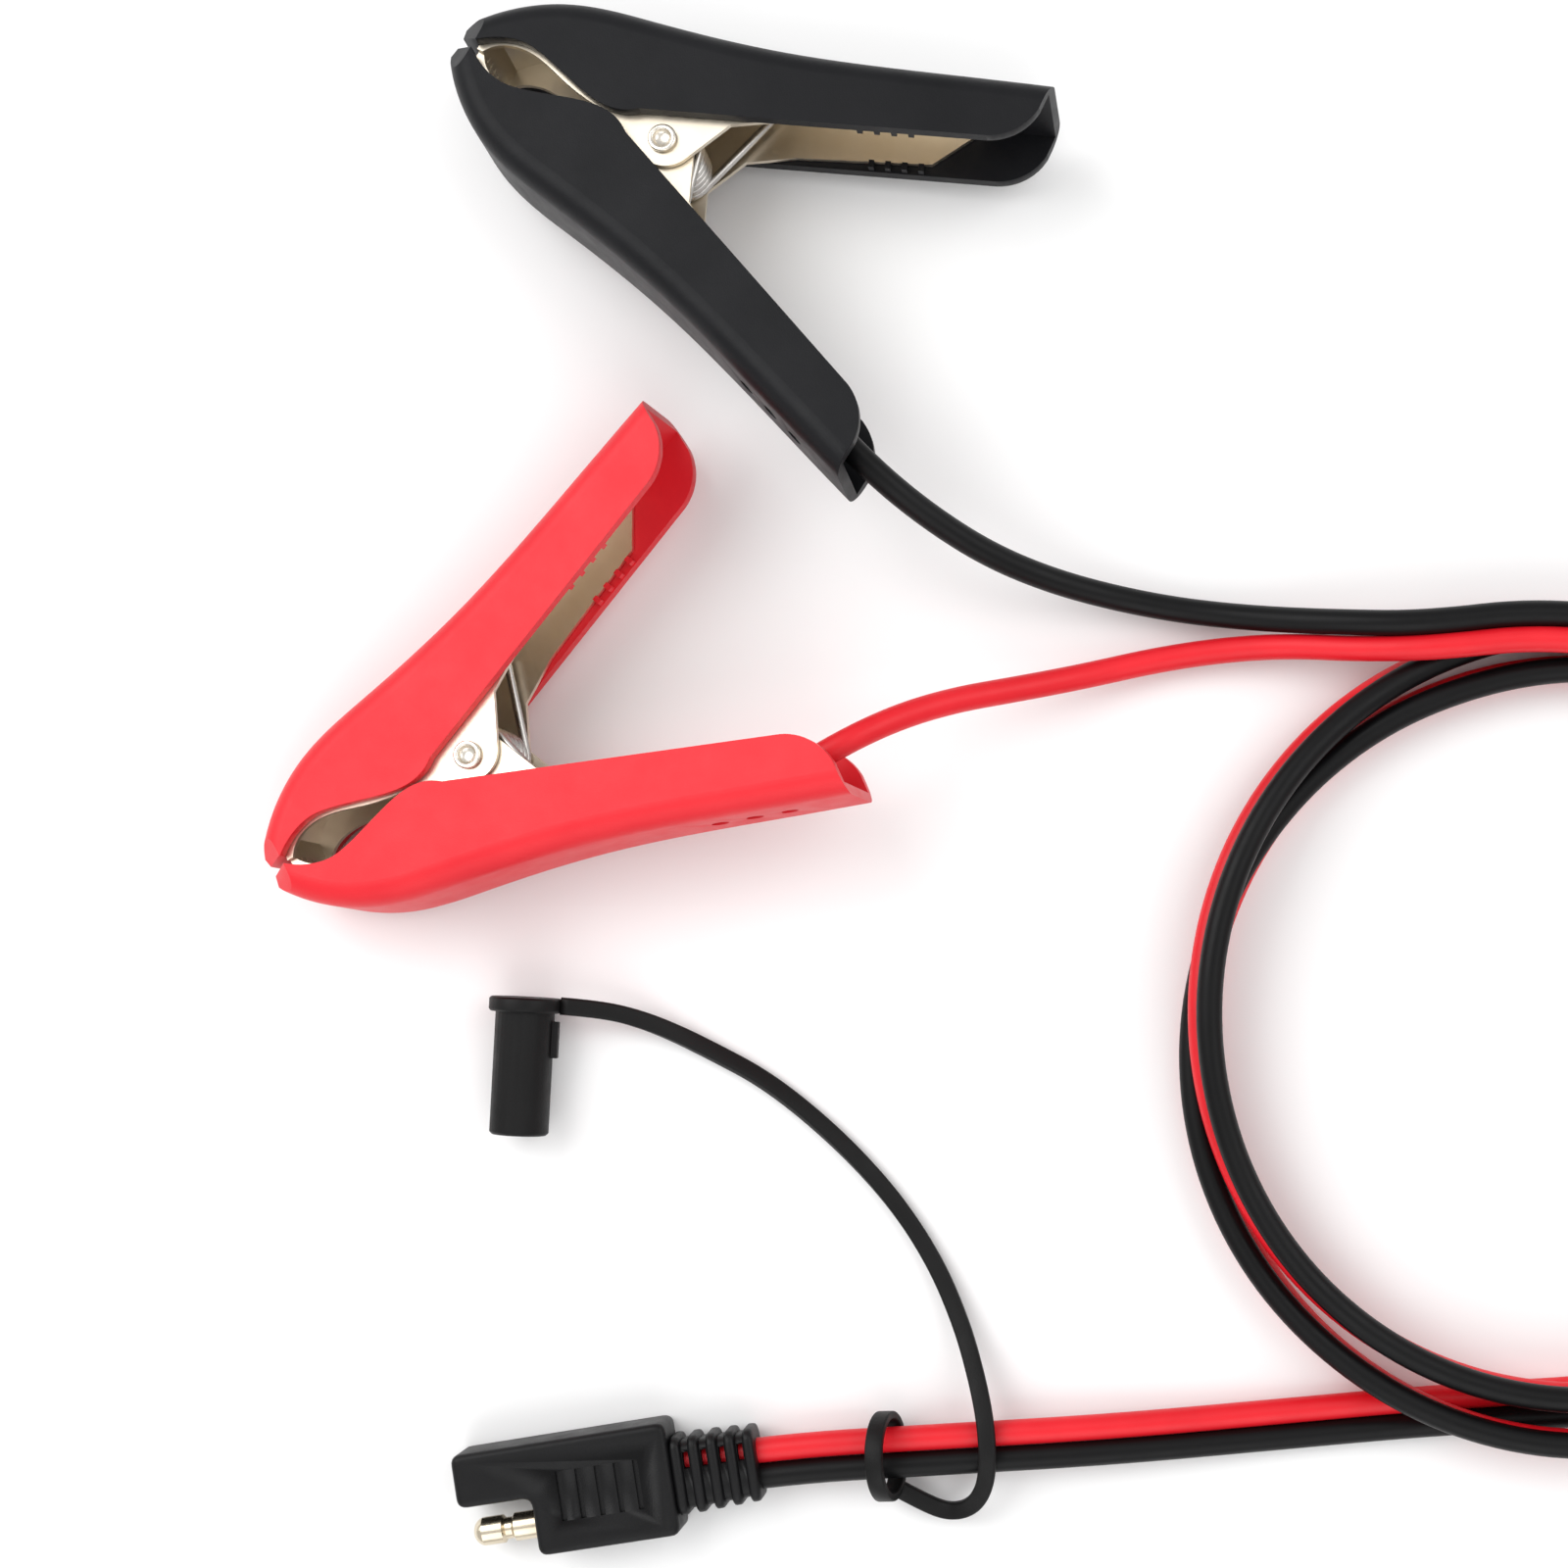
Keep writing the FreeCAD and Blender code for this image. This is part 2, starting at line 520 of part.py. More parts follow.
def make_plug_body():
    """The moulded body: a half-width arm with the socket, beside the bare pin."""
    body = doc.addObject("PartDesign::Body", "plug_block")
    width, length = size("plug_width") / 2, size("body_length")
    arm_low = HALF_PITCH - size("arm_width") / 2
    arm_high = HALF_PITCH + size("arm_width") / 2
    outline = [(-size("arm_length"), arm_low), (0, arm_low), (0, -width + 1.0), (1.0, -width),
               (length - 1.6, -width), (length, -width + 1.6), (length, width - 1.6),
               (length - 1.6, width), (-size("arm_length") + 0.5, arm_high),
               (-size("arm_length"), arm_high - 0.5)]
    points = [Vector(x, y, 0) for x, y in outline]
    pad(body, sketch_on(body, "XY_Plane", "plug_outline", chain(points + points[:1])),
        "Sheet.plug_thickness", "plug_slab")
    for side in (1, -1):
        slots = []
        for number in range(int(size("grip_count"))):
            x = size("grip_start") + number * size("grip_pitch")
            half_length, wide = size("grip_length") / 2, size("grip_width")
            slots += chain([Vector(x, -half_length, 0), Vector(x + wide, -half_length, 0),
                            Vector(x + wide, half_length, 0), Vector(x, half_length, 0),
                            Vector(x, -half_length, 0)])
        level = side * size("plug_thickness") / 2
        pocket(body, sketch_on(body, "XY_Plane", "plug_grip_line", slots, level),
               "2 * Sheet.grip_depth", "plug_grip")
    tools = [disc("socket_hollow", "Fits.socket_outer + Sheet.wire_clearance / 2",
                  "Sheet.arm_length + Sheet.contact_tail",
                  Vector(-size("arm_length") + size("socket_inset"), HALF_PITCH, 0)),
             disc("socket_mouth", "Fits.socket_bore + 0.25", "Sheet.arm_length",
                  Vector(-size("arm_length") - 1, HALF_PITCH, 0)),
             disc("pin_hollow", "Sheet.pin_neck / 2 + Sheet.wire_clearance / 2",
                  "Sheet.contact_tail + 1", Vector(-1, -HALF_PITCH, 0))]
    for half, colour in ((1, "red"), (-1, "black")):
        tools.append(inner_wire(colour + "_lead_hollow", half,
                                "Sheet.conductor_diameter / 2 + Sheet.wire_clearance"))
        tools.append(disc(colour + "_wire_hollow", "Sheet.wire_diameter / 2 + Sheet.wire_clearance / 4",
                          "2 * Sheet.boot_length", Vector(SPLICE, half * LANE, 0)))
    hollow = doc.addObject("Part::MultiFuse", "plug_hollow")
    hollow.Shapes = tools
    shell = doc.addObject("Part::Cut", "plug_housing")
    shell.Base, shell.Tool = body, hollow
    return finish(shell, "plug_housing", plug_place)


def make_boot():
    """The ribbed strain relief: thick ribs with slots that show the wires."""
    body = doc.addObject("PartDesign::Body", "boot_block")
    start, end = size("body_length"), BOOT_END
    tall, taper = size("boot_height") / 2, size("boot_taper")
    outline = [Vector(start, -tall, 0), Vector(end, taper - tall, 0),
               Vector(end, tall - taper, 0), Vector(start, tall, 0)]
    pad(body, sketch_on(body, "XY_Plane", "boot_outline", chain(outline + outline[:1])),
        "Sheet.plug_thickness - 1", "boot_slab")
    slots = []
    for number in range(int(size("boot_slots"))):
        x = start + size("boot_rib") + number * (size("boot_rib") + size("boot_slot"))
        for side in (1, -1):
            low, high = side * (tall - size("boot_slot_depth")), side * (tall + 1)
            slots += chain([Vector(x, low, 0), Vector(x + size("boot_slot"), low, 0),
                            Vector(x + size("boot_slot"), high, 0), Vector(x, high, 0),
                            Vector(x, low, 0)])
    pocket(body, sketch_on(body, "XY_Plane", "boot_slot_line", slots),
           "2 * Sheet.plug_thickness", "boot_slots")
    windows = []
    for number in range(int(size("boot_slots"))):
        x = start + size("boot_rib") + number * (size("boot_rib") + size("boot_slot"))
        reach = LANE + size("wire_diameter") / 2 - 0.3
        windows += chain([Vector(x, -reach, 0), Vector(x + size("boot_slot"), -reach, 0),
                          Vector(x + size("boot_slot"), reach, 0), Vector(x, reach, 0),
                          Vector(x, -reach, 0)])
    for side in (1, -1):
        pocket(body, sketch_on(body, "XY_Plane", "boot_window_line", windows,
                               side * size("plug_thickness") / 2),
               "Sheet.plug_thickness - Sheet.wire_diameter / 2", "boot_window")
    bores = [disc("%s_boot_bore" % colour, "Sheet.wire_diameter / 2 + Sheet.wire_clearance / 4",
                  "2 * Sheet.boot_length", Vector(start - 1, half * LANE, 0))
             for half, colour in ((1, "red"), (-1, "black"))]
    hollow = doc.addObject("Part::MultiFuse", "boot_hollow")
    hollow.Shapes = bores
    boot = doc.addObject("Part::Cut", "strain_relief")
    boot.Base, boot.Tool = body, hollow
    return finish(boot, "strain_relief", plug_place)


def make_pin():
    """The male contact: a bullet pin with a neck, and its root inside the body."""
    body = doc.addObject("PartDesign::Body", "plug_pin")
    radius, neck = size("pin_diameter") / 2, size("pin_neck") / 2
    reach, tip, groove = size("pin_reach"), size("pin_tip"), size("pin_neck_along")
    half_neck, ramp = size("pin_neck_width") / 2, size("pin_neck_ramp")
    outline = [Vector(JOINT, 0, 0), Vector(JOINT, neck, 0), Vector(0, neck, 0), Vector(0, radius, 0),
               Vector(-groove + half_neck + ramp, radius, 0), Vector(-groove + half_neck, neck, 0),
               Vector(-groove - half_neck, neck, 0), Vector(-groove - half_neck - ramp, radius, 0),
               Vector(-reach + tip, radius, 0)]
    curves = chain(outline)
    blunt = Vector(-reach, size("pin_blunt"), 0)
    curves.append(Part.Arc(outline[-1], Vector(-reach + 0.35 * tip, 0.75 * radius, 0), blunt))
    curves += chain([blunt, Vector(-reach, 0, 0), outline[0]])
    half = sketch_on(body, "XY_Plane", "pin_half", curves)
    turned = body.newObject("PartDesign::Revolution", "pin_turned")
    turned.Profile = half
    turned.ReferenceAxis = (half, ["H_Axis"])
    turned.Angle = 360
    place = plug_place.multiply(Placement(Vector(0, -HALF_PITCH, 0), Rotation()))
    return finish(body, "plug_pin", place)


def make_socket():
    """The female contact: a brass tube with a closed tail, inside the arm."""
    start = Vector(-size("arm_length") + size("socket_inset"), HALF_PITCH, 0)
    outer = disc("socket_tube", "Fits.socket_outer",
                 "Sheet.arm_length + Sheet.contact_tail - Sheet.socket_inset", start)
    bore = disc("socket_bore_tool", "Fits.socket_bore", "Sheet.socket_depth", start)
    socket = doc.addObject("Part::Cut", "plug_socket")
    socket.Base, socket.Tool = outer, bore
    return finish(socket, "plug_socket", plug_place)


make_plug_body()
make_boot()
make_pin()
make_socket()
for half, colour in ((1, "red"), (-1, "black")):
    lead = inner_wire(colour + "_plug_strands", half, "Sheet.conductor_diameter / 2")
    finish(lead, colour + "_plug_strands", plug_place.multiply(lead.Placement))


# ---------------------------------------------------------------- the dust cap

def make_cap():
    """The dust cap: a closed tube with a flange and one short rib, lying on the table."""
    body = doc.addObject("PartDesign::Body", "dust_cap")
    outer, bore = size("cap_radius"), size("cap_bore")
    flange, length = size("cap_flange_radius"), size("cap_length")
    thick, deep = size("flange_thickness"), size("cap_bore_depth")
    points = [Vector(0, 0, 0), Vector(0, flange - 0.3, 0), Vector(0.3, flange, 0),
              Vector(thick - 0.3, flange, 0), Vector(thick, flange - 0.3, 0),
              Vector(thick, outer, 0), Vector(length - 0.4, outer, 0), Vector(length, outer - 0.4, 0),
              Vector(length, bore, 0), Vector(length - deep, bore, 0), Vector(length - deep, 0, 0),
              Vector(0, 0, 0)]
    half = sketch_on(body, "XY_Plane", "cap_half", chain(points))
    turned = body.newObject("PartDesign::Revolution", "cap_turned")
    turned.Profile = half
    turned.ReferenceAxis = (half, ["H_Axis"])
    turned.Angle = 360
    start = size("cap_rib_start")
    end = start + size("cap_rib_length")
    inside, outside = 0.9 * outer, outer + size("cap_rib_height")
    rib = [Vector(start, inside, 0), Vector(start, outside, 0), Vector(end, outside, 0),
           Vector(end, inside, 0)]
    pad(body, sketch_on(body, "XY_Plane", "cap_rib_side", chain(rib + rib[:1])),
        "Sheet.cap_rib_width", "cap_rib")
    place = Placement(Vector(size("cap_across"), size("cap_up"), flange),
                      Rotation(Vector(0, 0, 1), size("cap_angle")))
    return finish(body, "dust_cap", place)


make_cap()


# ---------------------------------------------------------------- cords

ARC_SHARE = 0.45                               # of the shorter run, taken by each arc


def route_edges(points, label):
    """Straight runs joined by tangent arcs, each as large as its two runs allow."""
    edges, reached, radii = [], points[0], []
    for before, corner, after in zip(points, points[1:], points[2:]):
        way_in, way_out = corner - before, after - corner
        turn = way_in.getAngle(way_out)
        cut = ARC_SHARE * min(way_in.Length, way_out.Length)
        radii.append(cut / math.tan(turn / 2))
        a = corner - Vector(way_in).normalize() * cut
        b = corner + Vector(way_out).normalize() * cut
        bisector = (Vector(way_out).normalize() - Vector(way_in).normalize()).normalize()
        centre = corner + bisector * math.hypot(radii[-1], cut)
        middle = centre - bisector * radii[-1]
        edges += [Part.LineSegment(reached, a).toShape(), Part.Arc(a, middle, b).toShape()]
        reached = b
    edges.append(Part.LineSegment(reached, points[-1]).toShape())
    print("%s: radii %s" % (label, ", ".join("%.0f" % r for r in radii)))
    return edges


def make_tube(name, points, diameter):
    """A round cord along a route, as one closed solid."""
    points = [Vector(p) for p in points]
    edges = route_edges(points, name)
    path = Part.Wire(edges)
    start = edges[0].tangentAt(edges[0].FirstParameter)
    section = Part.Wire(Part.Circle(points[0], start, diameter / 2).toShape())
    solid = path.makePipeShell([section], True, False)
    expected = math.pi * diameter ** 2 / 4 * path.Length
    print("%s: %.1f mm long, volume %.4f of section times length"
          % (name, path.Length, solid.Volume / expected))
    tube = doc.addObject("Part::Feature", name)
    tube.Shape = solid
    return finish(tube, name)


def spot(placement, x, y, z=0.0):
    """A point given in the axes of something that stands at a placement."""
    return placement.multVec(Vector(x, y, z))


WIRE = size("wire_diameter")
LOW = WIRE / 2
grip = along_wire(size("conductor_grip"))
starts = {colour: place.multiply(grip).Base for colour, place in clip_places.items()}

black_clip_route = [starts["black"], (24.2, 50.4, 20.2), (31.4, 43.2, 20.0), (38.6, 37.8, 16.5),
                    (46.4, 33.4, 12.0), (54.9, 30.4, 7.4), (64.2, 28.2, 4.3), (74.7, 26.3, 3.4),
                    (86.6, 24.9, 5.2), (98.3, 24.0, 8.7), (110.0, 23.2, 10.6), (121.5, 23.6, 10.5)]
red_clip_route = [starts["red"], (17.6, 0.4, 19.6), (25.8, 5.3, 20.4), (33.4, 9.3, 17.2),
                  (41.2, 12.2, 12.6), (50.0, 14.2, 8.2), (59.7, 16.4, 4.8), (71.0, 19.1, 3.4),
                  (81.7, 20.6, 3.9), (91.0, 20.9, 5.4), (100.3, 20.2, 7.8), (109.4, 19.4, 9.7)]
make_tube("black_wire_clip_end", black_clip_route, WIRE)
make_tube("red_wire_clip_end", red_clip_route, WIRE)

pair_middle = [Vector(38.0, -98.2, 4.6), Vector(64.0, -96.8, 3.6), Vector(90.0, -94.8, 2.3),
               Vector(106.0, -93.4, LOW), Vector(121.5, -92.3, LOW)]
for half, name in ((1, "red_wire_plug_end"), (-1, "black_wire_plug_end")):
    beside = Vector(0, half * LANE, 0)
    route = [spot(plug_place, SPLICE, half * LANE), spot(plug_place, BOOT_END + 1.5, half * LANE)]
    route += [middle + beside for middle in pair_middle]
    make_tube(name, route, WIRE)

coil_outer = doc.addObject("Part::Cylinder", "cable_coil_outer")
coil_outer.setExpression("Radius", "Sheet.coil_radius + Sheet.coil_width / 2")
coil_inner = doc.addObject("Part::Cylinder", "cable_coil_inner")
coil_inner.setExpression("Radius", "Sheet.coil_radius - Sheet.coil_width / 2")
for cylinder in (coil_outer, coil_inner):
    cylinder.setExpression("Height", "Sheet.coil_height")
    cylinder.setExpression("Placement.Base.x", "Sheet.coil_centre_across")
    cylinder.setExpression("Placement.Base.y", "Sheet.coil_centre_up")
coil = doc.addObject("Part::Cut", "cable_coil")
coil.Base, coil.Tool = coil_outer, coil_inner
finish(coil, "cable_coil")


# The ring stands on the table round the cable, just behind the plug, and leans back to it.
cable_start = spot(plug_place, BOOT_END, 0)
cable_way = pair_middle[1] - cable_start
cable_way.z = 0
cable_way.normalize()
side_way = Vector(-cable_way.y, cable_way.x, 0)
lean = Rotation(side_way, -size("ring_lean"))
ring_way = lean.multVec(cable_way)
ring_up = lean.multVec(Vector(0, 0, 1))
half_ring = size("ring_width") / 2
ring_foot = cable_start + cable_way * size("ring_along")
ring_centre = Vector(ring_foot.x, ring_foot.y, size("ring_outer") * ring_up.z + half_ring * ring_way.z)
ring_block = disc("cap_ring_outer", "Fits.ring_outer", "Sheet.ring_width",
                  ring_centre - ring_way * half_ring, ring_way)
ring_bore = disc("cap_ring_bore", "Sheet.ring_inner", "2 * Sheet.ring_width",
                 ring_centre - ring_way * (2 * half_ring), ring_way)
ring = doc.addObject("Part::Cut", "cap_ring")
ring.Base, ring.Tool = ring_block, ring_bore
finish(ring, "cap_ring")

THIN = size("strap_diameter") / 2
strap_root = Vector(size("cap_across") + size("cap_flange_radius") - 0.2,
                    size("cap_up") - size("flange_thickness") * 0.6, size("cap_flange_radius"))
strap_tip = ring_centre - (side_way * 0.75 + ring_up * 0.6) * size("ring_outer")
strap_route = [strap_root, (-11.8, -32.9, 4.4), (-6.4, -34.3, 2.8), (-0.9, -36.6, THIN + 0.5),
               (5.0, -39.6, THIN + 0.1), (11.4, -43.0, THIN), (17.9, -47.8, THIN), (25.0, -54.2, THIN),
               (32.0, -62.0, THIN), (37.8, -70.9, THIN + 0.3), (41.8, -80.0, 2.8), (44.2, -87.6, 5.6),
               (45.6, -93.6, 8.0), (46.0, -99.2, 8.6), (45.4, -103.6, 7.0), (43.4, -106.8, 4.4),
               (39.9, -108.0, 2.2), (36.0, -106.6, 1.9), strap_tip]
make_tube("cap_strap", strap_route, size("strap_diameter"))


# ---------------------------------------------------------------- checks and files

doc.recompute()
faults = [o.Label for o in doc.Objects if "Invalid" in o.State or "Error" in o.State]
if faults:
    raise RuntimeError("these objects failed: " + ", ".join(faults))
for part in parts:
    if part.Shape.isNull() or not part.Shape.isValid():
        raise RuntimeError(part.Label + " has no valid shape")

os.makedirs("parts", exist_ok=True)
for part in parts:
    part.Shape.exportStep("parts/%s.step" % part.Label)
    box = part.Shape.BoundBox
    print("%-22s %d solid(s), %8.1f mm3, x %.1f..%.1f y %.1f..%.1f z %.2f..%.2f"
          % (part.Label, len(part.Shape.Solids), part.Shape.Volume,
             box.XMin, box.XMax, box.YMin, box.YMax, box.ZMin, box.ZMax))
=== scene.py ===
# %% [markdown]
# # An alligator clip lead, dressed around its working model
# The working model already has every hinge and contact at its real size. This file
# gives it its looks: soft vinyl, plated steel, two insulated wires wound in a loose
# coil, and the small sprung and moulded details that a solid model leaves plain.
# Everything is in metres and stands where the working model stands.

# %% Load the working model
import json
import math

import bmesh
import bpy
from mathutils import Matrix, Vector


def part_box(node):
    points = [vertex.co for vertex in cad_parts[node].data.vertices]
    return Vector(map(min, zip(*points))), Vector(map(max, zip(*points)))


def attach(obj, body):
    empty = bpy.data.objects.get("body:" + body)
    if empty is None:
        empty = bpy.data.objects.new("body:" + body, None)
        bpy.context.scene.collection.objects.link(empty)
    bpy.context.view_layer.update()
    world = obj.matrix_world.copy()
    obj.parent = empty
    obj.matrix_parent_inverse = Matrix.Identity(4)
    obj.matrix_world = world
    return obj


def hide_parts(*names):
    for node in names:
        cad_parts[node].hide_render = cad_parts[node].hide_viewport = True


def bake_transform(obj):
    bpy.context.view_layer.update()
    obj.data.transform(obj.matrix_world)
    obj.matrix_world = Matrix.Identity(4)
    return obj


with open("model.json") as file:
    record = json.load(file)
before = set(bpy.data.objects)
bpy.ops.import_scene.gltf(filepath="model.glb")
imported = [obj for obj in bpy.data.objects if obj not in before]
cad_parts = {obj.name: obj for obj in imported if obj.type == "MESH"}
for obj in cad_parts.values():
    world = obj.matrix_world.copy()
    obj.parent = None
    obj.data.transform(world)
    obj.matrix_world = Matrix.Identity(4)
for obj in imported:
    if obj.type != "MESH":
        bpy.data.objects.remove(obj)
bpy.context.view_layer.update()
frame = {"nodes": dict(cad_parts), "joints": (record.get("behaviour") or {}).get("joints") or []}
nodes = frame["nodes"]
joints = {joint["name"]: joint for joint in frame["joints"]}
scene = bpy.context.scene
MM = 0.001
COLOURS = ("black", "red")

# %% [markdown]
# ## Camera
# A lead like this is laid out on a table and seen from straight above. The camera could
# be tilted to aim at its middle, but then the sides of the clips and the plug would
# lean. So it looks straight down from about 40 centimetres, off to one side, and a lens
# shift brings the whole lead into the picture.

# %% Camera above the table
EYE = Vector((70.3, -24.8, 408.0)) * MM
SENSOR = 36.0
FOCAL_LENGTH = 62.424           # takes in 235 mm of the table from side to side
SHIFT = (-0.2356, 0.1088)

lens = bpy.data.cameras.new("studio_lens")
lens.sensor_width = SENSOR
lens.lens = FOCAL_LENGTH
lens.shift_x, lens.shift_y = SHIFT
lens.clip_start = 0.01
camera = bpy.data.objects.new("studio_camera", lens)
camera.location = EYE
scene.collection.objects.link(camera)
scene.camera = camera
print("camera %.0f mm up, lens %.1f mm" % (EYE.z / MM, lens.lens))


# %% [markdown]
# ## The coil, as numbers a winder would use
# The lead is a twin wire, two insulated wires side by side. It is wound clockwise two
# and a half times, from the clips' side to the plug's, and nothing ties it, so the
# turns lie loose, cross once on the left and part a little at top and bottom. A helix
# of one radius would be shorter to write, but it could neither cross itself nor part,
# so the winding is a table, eased from row to row.
# Each row below is a place along the winding: how many turns so far, the radius and
# the height of the middle of the pair, and its lean. A lean of 0 lays the black wire
# on the outside of the red one, and 90 stands it on top.

# %% How the turns lie
WIRE = 3.8
COIL_CENTRE = Vector((134.2, -35.9, 0.0))
TURNS = [
    (-0.062, 61.9, 10.4, 8), (-0.03, 60.2, 10.4, 4), (0.0, 58.4, 10.0, 0),
    (0.12, 56.8, 9.6, 0), (0.28, 56.3, 9.6, 0), (0.35, 55.4, 9.9, 14),
    (0.41, 54.2, 9.8, 50), (0.46, 53.9, 8.4, 82), (0.55, 54.4, 7.7, 90),
    (0.62, 54.9, 7.7, 98), (0.68, 55.4, 9.3, 104), (0.73, 56.0, 10.8, 108),
    (0.79, 57.0, 11.3, 109), (0.84, 57.8, 10.2, 108), (0.89, 58.5, 7.0, 106),
    (0.93, 58.9, 4.3, 102), (0.98, 59.3, 3.9, 95), (1.08, 59.5, 3.8, 90),
    (1.25, 59.6, 3.8, 90), (1.35, 60.2, 4.6, 90), (1.42, 60.7, 7.5, 90),
    (1.54, 60.9, 7.7, 90), (1.59, 60.5, 5.6, 88), (1.64, 59.9, 3.85, 80),
    (1.69, 58.9, 3.75, 72), (1.74, 57.8, 3.75, 72), (1.79, 56.6, 3.8, 78),
    (1.84, 55.5, 3.8, 90), (1.89, 54.7, 3.8, 98), (1.94, 53.8, 3.8, 103),
    (2.05, 53.6, 3.8, 95), (2.25, 54.0, 3.8, 90), (2.32, 54.3, 3.8, 75),
    (2.38, 54.6, 3.1, 35), (2.43, 54.9, 2.0, 5), (2.487, 55.05, 1.9, 0),
]
POINTS_PER_TURN = 24
COIL_START = 90                 # no turns yet is at the coil's far side, in degrees


def eased(turns):
    """Radius, height and lean at any place along the winding, without a kink."""
    after = next(i for i in range(1, len(TURNS)) if turns <= TURNS[i][0] + 1e-9)
    low, high = TURNS[after - 1], TURNS[after]
    span = high[0] - low[0]
    u = (turns - low[0]) / span
    values = []
    for part in (1, 2, 3):
        slopes = []
        for place in (after - 1, after):
            if place in (0, len(TURNS) - 1):
                slopes.append(0.0)
            else:
                before, beyond = TURNS[place - 1], TURNS[place + 1]
                slopes.append((beyond[part] - before[part]) / (beyond[0] - before[0]) * span)
        values.append((2 * u ** 3 - 3 * u ** 2 + 1) * low[part]
                      + (u ** 3 - 2 * u ** 2 + u) * slopes[0]
                      + (3 * u ** 2 - 2 * u ** 3) * high[part]
                      + (u ** 3 - u ** 2) * slopes[1])
    return values


def wound(side):
    """The turns of one wire. The side is 1 for black and -1 for red."""
    first, last = TURNS[0][0], TURNS[-1][0]
    count = round((last - first) * POINTS_PER_TURN)
    points = []
    for number in range(count + 1):
        turns = first + (last - first) * number / count
        radius, height, lean = eased(turns)
        radius += side * WIRE / 2 * math.cos(math.radians(lean))
        height += side * WIRE / 2 * math.sin(math.radians(lean))
        radius /= math.cos(math.pi / POINTS_PER_TURN)   # a spline runs just inside its points
        angle = math.radians(COIL_START - 360 * turns)
        across, along = radius * math.cos(angle), radius * math.sin(angle)
        points.append(COIL_CENTRE + Vector((across, along, height)))
    return points


print("coil of", len(wound(1)), "points a wire")

# %% [markdown]
# ## The loose runs
# From each clip the wire climbs out of the crimp, falls to the table and joins its
# partner just before the coil. From the coil the pair runs low to the plug. Gravity
# could be left to lay the wires, but these lie as someone put them, so their points are
# listed, in millimetres. They are the working model's own up to the coil. On
# the way to the plug two of them are up to 0.7 mm higher, so that the ring round the
# pair clears it all along its slide.

# %% The listed points of both wires
LANE = 1.92                     # each wire's distance from the middle of the pair
FROM_CLIP = {
    "black": [(16.85, 58.83, 18.03), (24.2, 50.4, 20.2), (31.4, 43.2, 20.0), (38.6, 37.8, 16.5),
              (46.4, 33.4, 12.0), (54.9, 30.4, 7.4), (64.2, 28.2, 4.3), (74.7, 26.3, 3.4),
              (86.6, 24.9, 5.2), (98.3, 24.0, 8.7)],
    "red": [(9.06, -0.68, 18.03), (17.6, 0.4, 19.6), (25.8, 5.3, 20.4), (33.4, 9.3, 17.2),
            (41.2, 12.2, 12.6), (50.0, 14.2, 8.2), (59.7, 16.4, 4.8), (71.0, 19.1, 3.4),
            (81.7, 20.6, 3.9), (91.0, 20.9, 5.4), (100.3, 20.2, 7.8)],
}
PAIR_TO_PLUG = [(121.5, -92.3, 1.9), (106.0, -93.4, 1.9), (90.0, -94.8, 2.3), (64.0, -96.8, 4.3),
                (38.0, -98.2, 5.0)]
INTO_PLUG = {
    "black": [(13.69, -101.66, 4.4), (-4.60, -104.43, 4.4)],
    "red": [(13.12, -97.87, 4.4), (-5.17, -100.63, 4.4)],
}


def route(colour):
    """Every control point of one wire, from its clip to the plug, in millimetres."""
    side = 1 if colour == "black" else -1
    points = [Vector(p) for p in FROM_CLIP[colour]] + wound(side)
    points += [Vector(p) - Vector((0, side * LANE, 0)) for p in PAIR_TO_PLUG]
    return points + [Vector(p) for p in INTO_PLUG[colour]]


print("points a wire:", [len(route(colour)) for colour in COLOURS])

# %% [markdown]
# ## One smooth line through its pegs
# A springy wire runs near the pegs that guide it and never kinks. A spline does the
# same with its control points. The points could be joined and the corners rounded, but
# that looks like bent rod, so every wire and strap starts as a spline, which is then
# read back as a row of points close together.

# %% From pegs to a line
SPLINE_STEPS = 8


def line_of(name, points):
    """The points, in metres, that a smooth open spline with these pegs passes through."""
    data = bpy.data.curves.new(name + "_line", "CURVE")
    data.dimensions = "3D"
    data.resolution_u = SPLINE_STEPS
    spline = data.splines.new("NURBS")
    spline.points.add(len(points) - 1)
    for peg, point in zip(spline.points, points):
        peg.co = (*(Vector(point) * MM), 1.0)
    spline.order_u = 3
    spline.use_endpoint_u = True
    bare = bpy.data.objects.new(name + "_line", data)
    scene.collection.objects.link(bare)
    depsgraph = bpy.context.evaluated_depsgraph_get()
    mesh = bpy.data.meshes.new_from_object(bare.evaluated_get(depsgraph))
    line = [vertex.co.copy() for vertex in mesh.vertices]
    bpy.data.meshes.remove(mesh)
    bpy.data.objects.remove(bare)
    return line


def length_of(line):
    """How long a row of points is, from end to end."""
    return sum((b - a).length for a, b in zip(line, line[1:]))


print("each line is read back in", SPLINE_STEPS, "steps a peg")
